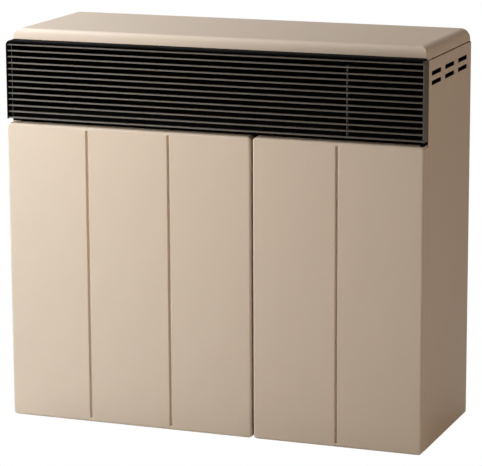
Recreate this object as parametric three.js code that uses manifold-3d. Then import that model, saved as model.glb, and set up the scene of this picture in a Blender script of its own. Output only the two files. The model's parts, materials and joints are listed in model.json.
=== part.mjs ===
// Wall mounted gas convector heater: a sheet steel casing on a back plate, with a louvred grille
// hood and fluted front panels that stand proud of it, a ribbed heat exchanger with its burner,
// and the gas controls behind a hinged front door.
// Millimetres. X runs to the right seen from the front, -Y to the front and +Z up. The pieces are
// laid out with z = 0 at the foot of the front panels and y = 0 at the wall.
import * as THREE from 'three';
import { mergeVertices } from 'three/addons/utils/BufferGeometryUtils.js';
import Module from 'manifold-3d';

const wasm = await Module();
wasm.setup();

// ---------------------------------------------------------------- driving dimensions

// Clearances
const SEAT_GAP = 0.3; // left between two pieces that touch
const RUNNING_GAP = 0.3; // round a pin, stem or spindle that turns or slides
const BOND_DEPTH = 0.4; // how far a welded or riveted detail reaches into its sheet
const PAST = 1; // how far a cutting tool runs past the face that it opens

// Casing
const SHEET = 1.2;
const CASING_DEPTH = 235;
const CASING_FOOT = 1.5; // underside of the side panels above the foot of the front panels
const SIDE_TOP = 615.7;
const SIDE_EDGE_RADIUS = 3.5;
const SIDE_FLANGE = 14;
const BACK_SHEET = 1.5;
const BACK_FLANGE = 15;
const BACK_CORNER = 5;
const BACK_FOLD = 2.2;
const KEYHOLE_SPAN = 560;
const KEYHOLE_DROP = 135; // of the upper pair below the top of the back plate
const KEYHOLE_RISE = 60; // of the lower pair above its foot
const KEYHOLE_RADIUS = 6;
const KEYHOLE_SLOT = 5;

// Top cover
const LID_HEIGHT = 21;
const LID_INSET = 2.5; // from the outer face of each side panel
const LID_EDGE_RADIUS = 11;
const LID_CORNER = 4;

// Cooling slots in the side panels
const SLOT_LENGTH = 52;
const SLOT_HEIGHT = 6.6;
const SLOT_PITCH = 72.5;
const SLOT_ROW_PITCH = 14.8;
const SLOT_COLUMNS = 3;
const SLOT_ROWS = 2;
const SLOT_TOP_DROP = 20.6; // top row's centre below the top of the side panel
const SLOT_BACK = 23.5; // back end of the last slot from the wall
const SLOT_RADIUS = 1.5;

// Front panels
const FLUTE_PITCH = 140;
const LEFT_FLUTES = 3;
const RIGHT_FLUTES = 2;
const PANEL_HEIGHT = 487;
const PANEL_PROUD = 21; // front face in front of the casing
const PANEL_CORNER = 6;
const PANEL_FOLD = 4;
const PANEL_SPLIT = 2.8; // gap between the left panel and the door
const GROOVE_WIDTH = 6.4;
const GROOVE_DEPTH = 2.6;
const GROOVE_FLOOR = 1.2;

// Grille hood
const HOOD_GAP = 6.5; // between the hood and the front panels
const HOOD_HEIGHT = 127;
const HOOD_CORNER = 8;
const HOOD_FOLD = 2;
const HOOD_BORDER = 3; // width of the frame round the bars
const BAR_COUNT = 13;
const BAR_TOP_DROP = 7; // first bar's centre line below the top of the hood
const BAR_FOOT_RISE = 2; // last bar's centre line above the foot of the hood
const BAR_THICKNESS = 1.6;
const BAR_DEPTH = 8;
const BAR_NOSE = 2.6; // height of the rounded front bead of a bar
const STAY_X = 224;
const STAY_FIRST_BAR = 1;
const STAY_TOOTH = 3; // reach of its teeth between the bars
const STAY_WIDTH = 3;
const STAY_NOTCH_REACH = 5; // of a notch's cutter past the stay
const STAY_DEPTH = 6;

// Frame behind the front panels
const CROSSBAR_HEIGHT = 42;
const CROSSBAR_DROP = 17; // of its lower edge below the top of the front panels
const RAIL_HEIGHT = 34;
const RAIL_FLANGE = 16;

// Door hinge and catch
const DOOR_SWING_GAP = 0.3; // between the door's rear corner and the casing as it swings past
const PIN_INSET = 4; // hinge pin from the outer face of the side panel
const PIN_FORWARD = 16.5; // hinge pin in front of the casing
const PIN_RADIUS = 1.2;
const PIN_REACH = 5; // of the pin into the door
const HINGE_ARM = 1.8; // thickness of the hinge arm
const HINGE_EYE = 2.3; // radius of the arm round the pin
const HINGE_ARM_WIDTH = 7.2;
const HINGE_OVERHANG = 1.2; // of the arm beyond the pin's centre
const LOWER_ARM_FOOT = 0.5;
const HINGE_LEAF = 24; // height of the leaf that is welded behind the casing
const CATCH_OFFSET = 12; // from the split line
const CATCH_DROP = 3; // below the door's upper fold
const CATCH_WIDTH = 38;
const CATCH_HEIGHT = 12;
const POLE_PROUD = 1;
const POLE_THICKNESS = 2;
const POLE_MARGIN = 3;
const STRIKE_THICKNESS = 1.5;
const STRIKE_CORNER = 2;

// Heat exchanger and flue
const EXCHANGER_WIDTH = 440;
const EXCHANGER_HEIGHT = 340;
const EXCHANGER_DEPTH = 120;
const EXCHANGER_X = -70; // centre of the heat exchanger
const EXCHANGER_FOOT = 132;
const EXCHANGER_BACK = 58; // behind it to the wall
const EXCHANGER_SHEET = 2;
const EXCHANGER_CORNER = 16;
const EXCHANGER_RIM = 10; // width of the welded seam flange
const SEAM_THICKNESS = 3;
const RIB_COUNT = 9;
const RIB_DEPTH = 9;
const RIB_RADIUS = 14;
const RIB_MARGIN = 34; // flat border above and below the ribs
const RIB_SIDES = 12;
const LUG_WIDTH = 30;
const LUG_HEIGHT = 12;
const DUCT_RADIUS = 74;
const DUCT_WALL = 2;
const FLUE_RADIUS = 44;
const FLUE_WALL = 2;
const FLUE_DROP = 92; // flue's centre below the top of the heat exchanger
const SEAL_THICKNESS = 4;
const SEAL_WIDTH = 8;
const AIR_HOLES = 6;
const AIR_HOLE_RADIUS = 9;
const DUCT_SIDES = 36;

// Heat deflector
const DEFLECTOR_MARGIN = 6; // from each side panel
const DEFLECTOR_DROP = 9; // its top below the side panel's top
const DEFLECTOR_FOOT = 500;
const DEFLECTOR_RADIUS = 90;
const DEFLECTOR_FRONT = 20; // its front edge behind the casing's front

// Burner
const BURNER_PLATE = 3;
const BURNER_PLATE_WIDTH = 400;
const BURNER_PLATE_DEPTH = 84;
const GASKET = 2.4;
const GASKET_CLEAR = 1; // of the gasket round the burner mouth
const BURNER_MOUTH_WIDTH = 370;
const BURNER_MOUTH_DEPTH = 56;
const BURNER_LENGTH = 320;
const BURNER_RADIUS = 15;
const BURNER_WALL = 1.5;
const BURNER_RISE = 34; // its axis above the burner plate
const PORT_COUNT = 12;
const PORT_WIDTH = 4;
const PORT_LENGTH = 12;
const STEM_RADIUS = 8; // mixer stem that carries the burner tube
const STEM_WALL = 2;
const STEM_DROP = 8; // of the mixer stem below the burner plate
const PILOT_INSET = 28; // pilot group from the end of the burner tube
const PILOT_PITCH = 13;
const PILOT_OFFSET = -21; // in front of the burner tube's axis
const PILOT_RADIUS = 4;
const PROBE_RADIUS = 2;
const PILOT_HEIGHT = 44;
const PROBE_TAIL = 10; // below the burner plate
const COLLAR_RIM = 1.5;
const COLLAR_HEIGHT = 2;
const PILOT_HEAD = 8; // height of the pilot burner's and the electrode's heads
const PROBE_HEAD = 6;
const HEAD_TAPER = 0.8; // top of a head, of its radius

// Sight glass
const SIGHT_RADIUS = 13;
const SIGHT_RIM = 5;
const SIGHT_SEAT = 2; // width of the ledge that the glass rests on
const SIGHT_THICKNESS = 4;
const SIGHT_RISE = 17; // centre above the foot of the heat exchanger
const SIGHT_X = 118; // from the middle of the heat exchanger

// Gas controls behind the door
const CONTROL_SETBACK = 34; // control panel behind the casing's front
const CONTROL_LEFT = 92;
const CONTROL_DROP = 10; // top of the control panel below the foot of the heat exchanger
const CONTROL_FLANGE = 12;
const VALVE_X = 184;
const VALVE_DROP = 54; // its axis below the foot of the heat exchanger
const VALVE_WIDTH = 84;
const VALVE_HEIGHT = 46;
const VALVE_DEPTH = 78;
const VALVE_BACK_GAP = 14; // valve body behind the control panel
const NECK_PROUD = 4; // of the neck in front of the control panel
const BOSS_LENGTH = 7;
const MAGNET_HEIGHT = 10;
const MAGNET_RADIUS = 11;
const MAGNET_INSET = 18; // its axis from the valve's left side
const BOSS_RIM = 5; // of a boss round its pipe
const VALVE_CORNER = 5;
const BRACKET_SHEET = 2;
const BRACKET_INSET = 10;
const BRACKET_LEAF = 24;
const VALVE_NECK = 15; // radius of the neck behind the knob
const SPINDLE_RADIUS = 4;
const PLUNGER_RADIUS = 3;
const PLUNGER_LENGTH = 12;
const SPINDLE_DEPTH = 4; // its rear end in front of the valve's front face
const KNOB_RADIUS = 22;
const KNOB_DEPTH = 20;
const KNOB_TRAVEL = 4;
const KNOB_SKIRT = 4;
const SKIRT_SHARE = 0.94; // front edge of the skirt, of the knob's radius
const WAIST_SHARE = 0.82;
const POINTER_SHARE = 0.7;
const POINTER_DEPTH = 2;
const KNOB_FACE = 5; // plastic in front of the spindle
const KNOB_SCALLOPS = 12;
const SCALLOP_DEPTH = 0.9;
const POINTER_WIDTH = 3;
const BUTTON_X = 262;
const BUTTON_RADIUS = 7;
const BUTTON_DEPTH = 8; // of the button in front of the bezel
const BUTTON_LENGTH = 14;
const BUTTON_TRAVEL = 5;
const IGNITER_RADIUS = 10;
const IGNITER_LENGTH = 30;
const BEZEL_THICKNESS = 2.5;
const BEZEL_STEP = 1; // between the igniter's neck, body and bezel, from each to the next

// Pipes
const INLET_RADIUS = 7.5;
const INLET_X = 300;
const INLET_MOUTH = 6; // above the foot of the front panels
const NUT_ACROSS = 30;
const NUT_HEIGHT = 16;
const INLET_STAND = 3; // lower end of the inlet pipe above the foot of the nut
const INLET_BEND = 24;
const FEED_RADIUS = 5;
const FEED_BEND = 20;
const BEND_SHARE = 0.3; // of a bend's reach, where its middle point lies
const PILOT_PIPE_RADIUS = 2.2;
const BULB_RADIUS = 5;
const BULB_LENGTH = 90;
const BULB_X = -40;
const CLIP_WIDTH = 14;
const CLIP_WALL = 1.2;
const CAPILLARY_RADIUS = 1.3;
const CAPILLARY_RISE = 8; // its end above the foot of the valve
const CAPILLARY_INSET = 12; // its end behind the front of the valve, and its straight run there
const CAPILLARY_RUN = 40; // of its slanting stretch beside the valve
const LEAD_REACH = 16; // straight run of a lead before its bend
const LEAD_RADIUS = 2;
const PILOT_BOSS_RISE = 14; // of the pilot connections above the valve's middle

// Facets
const LEAST_RADIUS = 0.8; // of a corner whose fold is wider than its plan radius
const ARC_SEGMENTS = 2; // an arc gets twice as many facets
const CORNER_STEPS = 4;
const FOLD_STEPS = 4;
const ROUND_SIDES = 24;
const PIPE_SIDES = 10;
const INLET_SIDES = 12;
const INLET_STEPS = 16;
const FEED_STEPS = 26;
const LEAD_STEPS = 20;
const IGNITION_STEPS = 30;
const LEAD_SIDES = 6;
const HOLE_SIDES = 16;
const HEX_SIDES = 6;
const KNOB_SIDES = 36;

// ---------------------------------------------------------------- levels and planes

const WIDTH = FLUTE_PITCH * (LEFT_FLUTES + RIGHT_FLUTES);
const HALF_WIDTH = WIDTH / 2;
const CASING_FRONT = -CASING_DEPTH;
const FACADE_FRONT = CASING_FRONT - PANEL_PROUD;
const HOOD_FOOT = PANEL_HEIGHT + HOOD_GAP;
const HOOD_TOP = HOOD_FOOT + HOOD_HEIGHT;
const BAR_FRONT = FACADE_FRONT + SHEET + SEAT_GAP;
const BAR_BACK = BAR_FRONT + BAR_DEPTH;
const BAR_PITCH = (HOOD_HEIGHT - BAR_TOP_DROP - BAR_FOOT_RISE) / (BAR_COUNT - 1);
const LID_FOOT = SIDE_TOP + SEAT_GAP;
const LID_TOP = LID_FOOT + LID_HEIGHT;
const ORIGIN_HEIGHT = LID_TOP / 2;
const INNER_HALF = HALF_WIDTH - SHEET - SEAT_GAP; // clear half width between the side panels
const FRAME_FRONT = CASING_FRONT + SHEET + SEAT_GAP; // face of the cross bar and bottom rail
const BACK_FACE = -BACK_SHEET - SEAT_GAP; // where a piece seats on the back plate

// The pin stands so far forward that the door's rear corner passes the casing with its swing gap.
const SWING_REACH = PIN_FORWARD - DOOR_SWING_GAP;
const DOOR_GAP = PIN_FORWARD - Math.sqrt(SWING_REACH ** 2 - PIN_INSET ** 2);
const SPLIT_X = -HALF_WIDTH + FLUTE_PITCH * LEFT_FLUTES;
const PIN_X = HALF_WIDTH - PIN_INSET;
const PIN_Y = CASING_FRONT - PIN_FORWARD;
const HINGE_RIGHT = PIN_X + HINGE_OVERHANG;
const HINGE_LEFT = HINGE_RIGHT - HINGE_ARM_WIDTH;
const HINGE_LEAF_BACK = FRAME_FRONT + HINGE_ARM;
const UPPER_ARM_FOOT = PANEL_HEIGHT + SEAT_GAP;
const STRIKE_BACK = FACADE_FRONT + SHEET + SEAT_GAP + STRIKE_THICKNESS;
const CATCH_LEFT = SPLIT_X + CATCH_OFFSET;
const CROSSBAR_FOOT = PANEL_HEIGHT - CROSSBAR_DROP;

const EXCHANGER_FRONT_Y = -EXCHANGER_BACK - EXCHANGER_DEPTH;
const EXCHANGER_MID_Y = -EXCHANGER_BACK - EXCHANGER_DEPTH / 2;
const EXCHANGER_TOP = EXCHANGER_FOOT + EXCHANGER_HEIGHT;
const FLUE_Z = EXCHANGER_TOP - FLUE_DROP;
const SIGHT = [EXCHANGER_X + SIGHT_X, EXCHANGER_FRONT_Y - SEAT_GAP, EXCHANGER_FOOT + SIGHT_RISE];
const GASKET_TOP = EXCHANGER_FOOT - SEAT_GAP;
const PLATE_TOP = GASKET_TOP - GASKET - SEAT_GAP;
const PLATE_FOOT = PLATE_TOP - BURNER_PLATE;
const BURNER_Z = PLATE_TOP + BURNER_RISE;
const STEM_TAIL = PLATE_FOOT - PROBE_TAIL - SEAT_GAP; // where a pipe or lead meets its stem
const PILOT_X = EXCHANGER_X + BURNER_LENGTH / 2 - PILOT_INSET;
const PILOT_Y = EXCHANGER_MID_Y + PILOT_OFFSET;

const CONTROL_FACE = CASING_FRONT + CONTROL_SETBACK;
const CONTROL_RIGHT = INNER_HALF - SEAT_GAP;
const CONTROL_FOOT = CASING_FOOT + SHEET + SEAT_GAP;
const CONTROL_TOP = EXCHANGER_FOOT - CONTROL_DROP;
const VALVE_Z = EXCHANGER_FOOT - VALVE_DROP;
const VALVE_FRONT = CONTROL_FACE + VALVE_BACK_GAP;
const VALVE_BACK = VALVE_FRONT + VALVE_DEPTH;
const VALVE_LEFT = VALVE_X - VALVE_WIDTH / 2;
const VALVE_RIGHT = VALVE_X + VALVE_WIDTH / 2;
const VALVE_MID_Y = (VALVE_FRONT + VALVE_BACK) / 2;
const VALVE_FOOT = VALVE_Z - VALVE_HEIGHT / 2;
const NECK_FRONT = CONTROL_FACE - NECK_PROUD;
const KNOB_BACK = NECK_FRONT - KNOB_TRAVEL - RUNNING_GAP;
const KNOB_FRONT = KNOB_BACK - KNOB_DEPTH;
const SPINDLE_END = VALVE_FRONT - SPINDLE_DEPTH;
const BEZEL_FRONT = CONTROL_FACE - SEAT_GAP - BEZEL_THICKNESS;
const IGNITER_NECK = IGNITER_RADIUS - BEZEL_STEP;
const BULB_Y = FRAME_FRONT + RAIL_FLANGE + BULB_RADIUS + CLIP_WALL + SEAT_GAP;
const BULB_Z = CONTROL_FOOT + RAIL_HEIGHT / 2;

// ---------------------------------------------------------------- helpers

// A closed geometry as a solid that can be joined and cut.
function solidOf(geometry) {
  const bare = geometry.clone();
  bare.deleteAttribute('normal');
  bare.deleteAttribute('uv');
  const merged = mergeVertices(bare, 1e-4);
  const mesh = new wasm.Mesh({
    numProp: 3,
    vertProperties: Float32Array.from(merged.attributes.position.array),
    triVerts: Uint32Array.from(merged.index.array),
  });
  return new wasm.Manifold(mesh);
}

function geometryOf(solid) {
  const mesh = solid.getMesh();
  const geometry = new THREE.BufferGeometry();
  geometry.setAttribute('position', new THREE.BufferAttribute(mesh.vertProperties, 3));
  geometry.setIndex(new THREE.BufferAttribute(mesh.triVerts, 1));
  geometry.computeVertexNormals();
  return geometry;
}

function join(first, ...others) {
  return others.reduce((whole, piece) => whole.add(piece), first);
}

function cut(body, ...tools) {
  return tools.reduce((whole, tool) => whole.subtract(tool), body);
}

// A block between two corners.
function block(x0, x1, y0, y1, z0, z1) {
  const box = new THREE.BoxGeometry(x1 - x0, y1 - y0, z1 - z0);
  return solidOf(box.translate((x0 + x1) / 2, (y0 + y1) / 2, (z0 + z1) / 2));
}

const AXES = {
  x: new THREE.Vector3(1, 0, 0),
  y: new THREE.Vector3(0, 1, 0),
  z: new THREE.Vector3(0, 0, 1),
};

// A round bar along one axis, starting at a point; a second radius makes it a cone.
function rod(axis, radius, length, x, y, z, sides = ROUND_SIDES, endRadius = radius) {
  const cylinder = new THREE.CylinderGeometry(endRadius, radius, length, sides);
  const turn = new THREE.Quaternion().setFromUnitVectors(AXES.y, AXES[axis]);
  cylinder.translate(0, length / 2, 0).applyQuaternion(turn);
  return solidOf(cylinder.translate(x, y, z));
}

// A round tube along one axis, open at both ends.
function pipeRing(axis, radius, wall, length, x, y, z, sides = ROUND_SIDES) {
  const offset = AXES[axis].clone().multiplyScalar(-PAST);
  const bore = rod(axis, radius - wall, length + 2 * PAST, x + offset.x, y + offset.y, z + offset.z, sides);
  return cut(rod(axis, radius, length, x, y, z, sides), bore);
}

function extruded(shape, depth, segments) {
  return new THREE.ExtrudeGeometry(shape, { depth, bevelEnabled: false, curveSegments: segments });
}

// A flat shape drawn in (y, z) and extruded along X from x0 to x1.
function alongX(shape, x0, x1, segments = ARC_SEGMENTS) {
  const turn = new THREE.Matrix4().makeBasis(AXES.y, AXES.z, AXES.x);
  return solidOf(extruded(shape, x1 - x0, segments).applyMatrix4(turn).translate(x0, 0, 0));
}

// A flat shape drawn in (x, z) and extruded towards the front from y0 to y1, with y1 below y0.
function alongY(shape, y0, y1, segments = ARC_SEGMENTS) {
  return solidOf(extruded(shape, y0 - y1, segments).rotateX(Math.PI / 2).translate(0, y0, 0));
}

// A flat shape drawn in (x, y) and extruded upwards from z0 to z1.
function alongZ(shape, z0, z1, segments = ARC_SEGMENTS) {
  return solidOf(extruded(shape, z1 - z0, segments).translate(0, 0, z0));
}

// A rectangle with rounded corners, as a shape.
function roundedShape(x0, x1, y0, y1, radius) {
  const shape = new THREE.Shape();
  shape.moveTo(x0 + radius, y0);
  shape.absarc(x1 - radius, y0 + radius, radius, -Math.PI / 2, 0);
  shape.absarc(x1 - radius, y1 - radius, radius, 0, Math.PI / 2);
  shape.absarc(x0 + radius, y1 - radius, radius, Math.PI / 2, Math.PI);
  shape.absarc(x0 + radius, y0 + radius, radius, Math.PI, Math.PI * 1.5);
  return shape;
}

// One ring of a rounded rectangle round the middle, at height z.
function ring(width, height, radius, z) {
  const points = [];
  for (let quarter = 0; quarter < 4; quarter += 1) {
    const sideX = quarter === 0 || quarter === 3 ? 1 : -1;
    const sideY = quarter < 2 ? 1 : -1;
    for (let step = 0; step <= CORNER_STEPS; step += 1) {
      const angle = ((quarter + step / CORNER_STEPS) * Math.PI) / 2;
      const x = sideX * (width / 2 - radius) + radius * Math.cos(angle);
      const y = sideY * (height / 2 - radius) + radius * Math.sin(angle);
      points.push(new THREE.Vector3(x, y, z));
    }
  }
  return points;
}

// A closed skin over rings of equal point counts, with flat ends.
function loft(rings) {
  const count = rings[0].length;
  const positions = rings.flat().flatMap((point) => point.toArray());
  const index = [];
  for (let level = 0; level + 1 < rings.length; level += 1) {
    for (let i = 0; i < count; i += 1) {
      const a = level * count + i;
      const b = level * count + ((i + 1) % count);
      index.push(a, b, b + count, a, b + count, a + count);
    }
  }
  const last = (rings.length - 1) * count;
  for (let i = 1; i + 1 < count; i += 1) {
    index.push(0, i + 1, i);
    index.push(last, last + i, last + i + 1);
  }
  const geometry = new THREE.BufferGeometry();
  geometry.setAttribute('position', new THREE.Float32BufferAttribute(positions, 3));
  geometry.setIndex(index);
  return geometry;
}

// The outside of a pressed form: straight walls from z = 0, then a fold of a quarter circle up to
// a flat face at z = depth.
function pressedForm(width, height, depth, corner, fold) {
  const rings = [ring(width, height, corner, 0)];
  for (let step = 0; step <= FOLD_STEPS; step += 1) {
    const angle = (step / FOLD_STEPS) * (Math.PI / 2);
    const inset = fold * (1 - Math.cos(angle));
    const z = depth - fold * (1 - Math.sin(angle));
    rings.push(ring(width - 2 * inset, height - 2 * inset, Math.max(corner - inset, LEAST_RADIUS), z));
  }
  return loft(rings);
}

// The hollow of a sheet steel tray whose outside is a pressed form.
function pressedHollow(width, height, depth, corner, fold, sheet) {
  const inside = pressedForm(
    width - 2 * sheet,
    height - 2 * sheet,
    depth - sheet + PAST,
    Math.max(corner - sheet, LEAST_RADIUS),
    Math.max(fold - sheet, LEAST_RADIUS / 2),
  );
  return inside.translate(0, 0, -PAST);
}

// A smooth tube through points, one step every few millimetres of its length.
function tubeThrough(points, radius, sides, steps) {
  const stations = points.map((point) => new THREE.Vector3(...point));
  const path = new THREE.CatmullRomCurve3(stations, false, 'centripetal');
  const section = new THREE.Shape();
  for (let i = 0; i < sides; i += 1) {
    const angle = (i / sides) * Math.PI * 2;
    const x = radius * Math.cos(angle);
    const y = radius * Math.sin(angle);
    if (i === 0) section.moveTo(x, y);
    else section.lineTo(x, y);
  }
  section.closePath();
  return solidOf(new THREE.ExtrudeGeometry(section, { steps, extrudePath: path, bevelEnabled: false }));
}

// ---------------------------------------------------------------- finishes

function finish(color, roughness, metalness) {
  return new THREE.MeshStandardMaterial({ color, roughness, metalness });
}

const FINISHES = {
  beigePaint: finish('#c3b39c', 0.55, 0),
  blackEnamel: finish('#161412', 0.45, 0),
  barEnamel: finish('#3a332d', 0.4, 0),
  plainSteel: finish('#a6a8a8', 0.42, 0.85),
  zincSteel: finish('#b3b6b4', 0.45, 0.8),
  enamelIron: finish('#2b2a2c', 0.5, 0.1),
  aluminised: finish('#9a9a96', 0.5, 0.75),
  castAlloy: finish('#a9abad', 0.5, 0.7),
  brass: finish('#b98f4a', 0.35, 0.9),
  copper: finish('#b06f4c', 0.35, 0.9),
  blackPlastic: finish('#1b1b1c', 0.5, 0),
  redPlastic: finish('#a8281e', 0.4, 0),
  ceramic: finish('#ece7da', 0.35, 0),
  fibre: finish('#cfcabd', 0.9, 0),
  glass: finish('#cfd8d6', 0.08, 0),
  magnet: finish('#4a4b4d', 0.5, 0.4),
};

const heater = new THREE.Group();
heater.position.z = -ORIGIN_HEIGHT;

// Adds one named piece to the heater, or to a group in it.
function piece(name, solid, material, parent = heater) {
  const mesh = new THREE.Mesh(geometryOf(solid), FINISHES[material]);
  mesh.name = name;
  parent.add(mesh);
  return mesh;
}

// ---------------------------------------------------------------- casing

// A tray whose face stands at local z = depth, ready to be turned to its place.
function pressedTray(width, height, depth, corner, fold, sheet) {
  const outside = pressedForm(width, height, depth, corner, fold);
  const inside = pressedHollow(width, height, depth, corner, fold, sheet);
  return { outside, inside };
}

// The back plate: its face on the wall, its edges folded forward, keyholes for four wall screws
// and a round opening for the air duct.
function backPlate() {
  const foot = CONTROL_FOOT;
  const top = SIDE_TOP - SHEET - SEAT_GAP;
  const middle = (foot + top) / 2;
  const tray = pressedTray(2 * INNER_HALF, top - foot, BACK_FLANGE, BACK_CORNER, BACK_FOLD, BACK_SHEET);
  const place = (geometry) => solidOf(geometry.rotateX(-Math.PI / 2).translate(0, -BACK_FLANGE, middle));
  const start = -BACK_SHEET - PAST;
  const through = BACK_SHEET + 2 * PAST;
  const holes = [rod('y', DUCT_RADIUS + 2 * SEAT_GAP, through, EXCHANGER_X, start, FLUE_Z, DUCT_SIDES)];
  const slot = KEYHOLE_SLOT / 2;
  for (const x of [-KEYHOLE_SPAN / 2, KEYHOLE_SPAN / 2]) {
    for (const level of [top - KEYHOLE_DROP, foot + KEYHOLE_RISE]) {
      holes.push(rod('y', KEYHOLE_RADIUS, through, x, start, level, HOLE_SIDES));
      holes.push(block(x - slot, x + slot, start, PAST, level, level + 2 * KEYHOLE_RADIUS));
    }
  }
  return cut(place(tray.outside), place(tray.inside), ...holes);
}

// A side panel: one folded sheet with a round front edge, flanges along its front, top and foot,
// and two rows of cooling slots. Side is +1 on the right and -1 on the left.
function sidePanel(side) {
  const outer = side * HALF_WIDTH;
  const inner = side * (HALF_WIDTH - SIDE_FLANGE);
  const beyond = inner - side * 2 * SIDE_EDGE_RADIUS;
  const span = (a, b) => [Math.min(a, b), Math.max(a, b)];
  const [x0, x1] = span(outer, beyond);
  const [h0, h1] = span(outer - side * SHEET, beyond + side * SHEET);
  const inside = roundedShape(h0, h1, CASING_FRONT + SHEET, SIDE_FLANGE - SHEET, SIDE_EDGE_RADIUS - SHEET);
  const skin = cut(
    alongZ(roundedShape(x0, x1, CASING_FRONT, SIDE_FLANGE, SIDE_EDGE_RADIUS), CASING_FOOT, SIDE_TOP),
    alongZ(inside, CASING_FOOT + SHEET, SIDE_TOP - SHEET),
  );
  const [c0, c1] = span(inner, beyond - side);
  const trims = [
    block(c0, c1, CASING_FRONT - PAST, SIDE_FLANGE + PAST, CASING_FOOT - PAST, SIDE_TOP + PAST),
    block(x0 - PAST, x1 + PAST, 0, SIDE_FLANGE + PAST, CASING_FOOT - PAST, SIDE_TOP + PAST),
  ];
  for (let row = 0; row < SLOT_ROWS; row += 1) {
    for (let column = 0; column < SLOT_COLUMNS; column += 1) {
      const back = -SLOT_BACK - column * SLOT_PITCH;
      const z = SIDE_TOP - SLOT_TOP_DROP - row * SLOT_ROW_PITCH;
      const half = SLOT_HEIGHT / 2;
      const slot = roundedShape(back - SLOT_LENGTH, back, z - half, z + half, SLOT_RADIUS);
      const [s0, s1] = span(outer + side, outer - side * (SHEET + PAST));
      trims.push(alongX(slot, s0, s1));
    }
  }
  return cut(skin, ...trims);
}

// The notch in the right side panel's flanges that a hinge arm passes through.
function hingeNotch(foot, top) {
  const left = HINGE_LEFT - SEAT_GAP;
  const right = HINGE_RIGHT + SEAT_GAP;
  return block(left, right, CASING_FRONT - PAST, HINGE_LEAF_BACK + SEAT_GAP, foot - SEAT_GAP, top + SEAT_GAP);
}

// The top cover: a pressed cap with a large edge radius, open at the wall.
function topCover() {
  const width = WIDTH - 2 * LID_INSET;
  const reach = CASING_DEPTH + 4 * LID_EDGE_RADIUS;
  const tray = pressedTray(width, reach, LID_HEIGHT, LID_CORNER, LID_EDGE_RADIUS, SHEET);
  const place = (geometry) => solidOf(geometry.translate(0, CASING_FRONT + reach / 2, LID_FOOT));
  const wallSide = block(-WIDTH, WIDTH, -SEAT_GAP, reach, LID_FOOT - PAST, LID_TOP + PAST);
  return cut(place(tray.outside), place(tray.inside), wallSide);
}

// A channel across the front frame, its flanges turned back into the casing.
function frameChannel(foot, top) {
  const back = FRAME_FRONT + RAIL_FLANGE;
  const left = -INNER_HALF + SIDE_EDGE_RADIUS - SHEET;
  const right = HINGE_LEFT - SEAT_GAP;
  return cut(
    block(left, right, FRAME_FRONT, back, foot, top),
    block(left - PAST, right + PAST, FRAME_FRONT + SHEET, back + PAST, foot + SHEET, top - SHEET),
  );
}

// ---------------------------------------------------------------- front panels

// A pressed groove's section round x, as deep as its sheet side asks.
function grooveShape(x, face, halfWidth, depth) {
  const shape = new THREE.Shape();
  shape.moveTo(x - halfWidth, face - PAST);
  shape.lineTo(x + halfWidth, face - PAST);
  shape.lineTo(x + halfWidth, face);
  shape.lineTo(x + GROOVE_FLOOR / 2, face + depth);
  shape.lineTo(x - GROOVE_FLOOR / 2, face + depth);
  shape.lineTo(x - halfWidth, face);
  return shape;
}

// A fluted front panel between two sides, with its back edge at a plane. A groove is pressed in
// at each flute line.
function flutedPanel(left, right, backEdge, flutes) {
  const depth = backEdge - FACADE_FRONT;
  const tray = pressedTray(right - left, PANEL_HEIGHT, depth, PANEL_CORNER, PANEL_FOLD, SHEET);
  const place = (geometry) => {
    const turned = geometry.rotateX(Math.PI / 2);
    return solidOf(turned.translate((left + right) / 2, backEdge, PANEL_HEIGHT / 2));
  };
  let hollow = place(tray.inside);
  let skin = place(tray.outside);
  for (const x of flutes) {
    const groove = grooveShape(x, FACADE_FRONT, GROOVE_WIDTH / 2, GROOVE_DEPTH);
    const ridge = grooveShape(x, FACADE_FRONT + SHEET, GROOVE_WIDTH / 2, GROOVE_DEPTH);
    hollow = cut(hollow, alongZ(ridge, -PAST, PANEL_HEIGHT + PAST));
    skin = cut(skin, alongZ(groove, -PAST, PANEL_HEIGHT + PAST));
  }
  return cut(skin, hollow);
}

function fluteLines(first, last) {
  const lines = [];
  for (let i = first; i < last; i += 1) lines.push(-HALF_WIDTH + i * FLUTE_PITCH);
  return lines;
}

function frontPanel() {
  const right = SPLIT_X - PANEL_SPLIT / 2;
  return flutedPanel(-HALF_WIDTH, right, CASING_FRONT - SEAT_GAP, fluteLines(1, LEFT_FLUTES));
}

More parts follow.
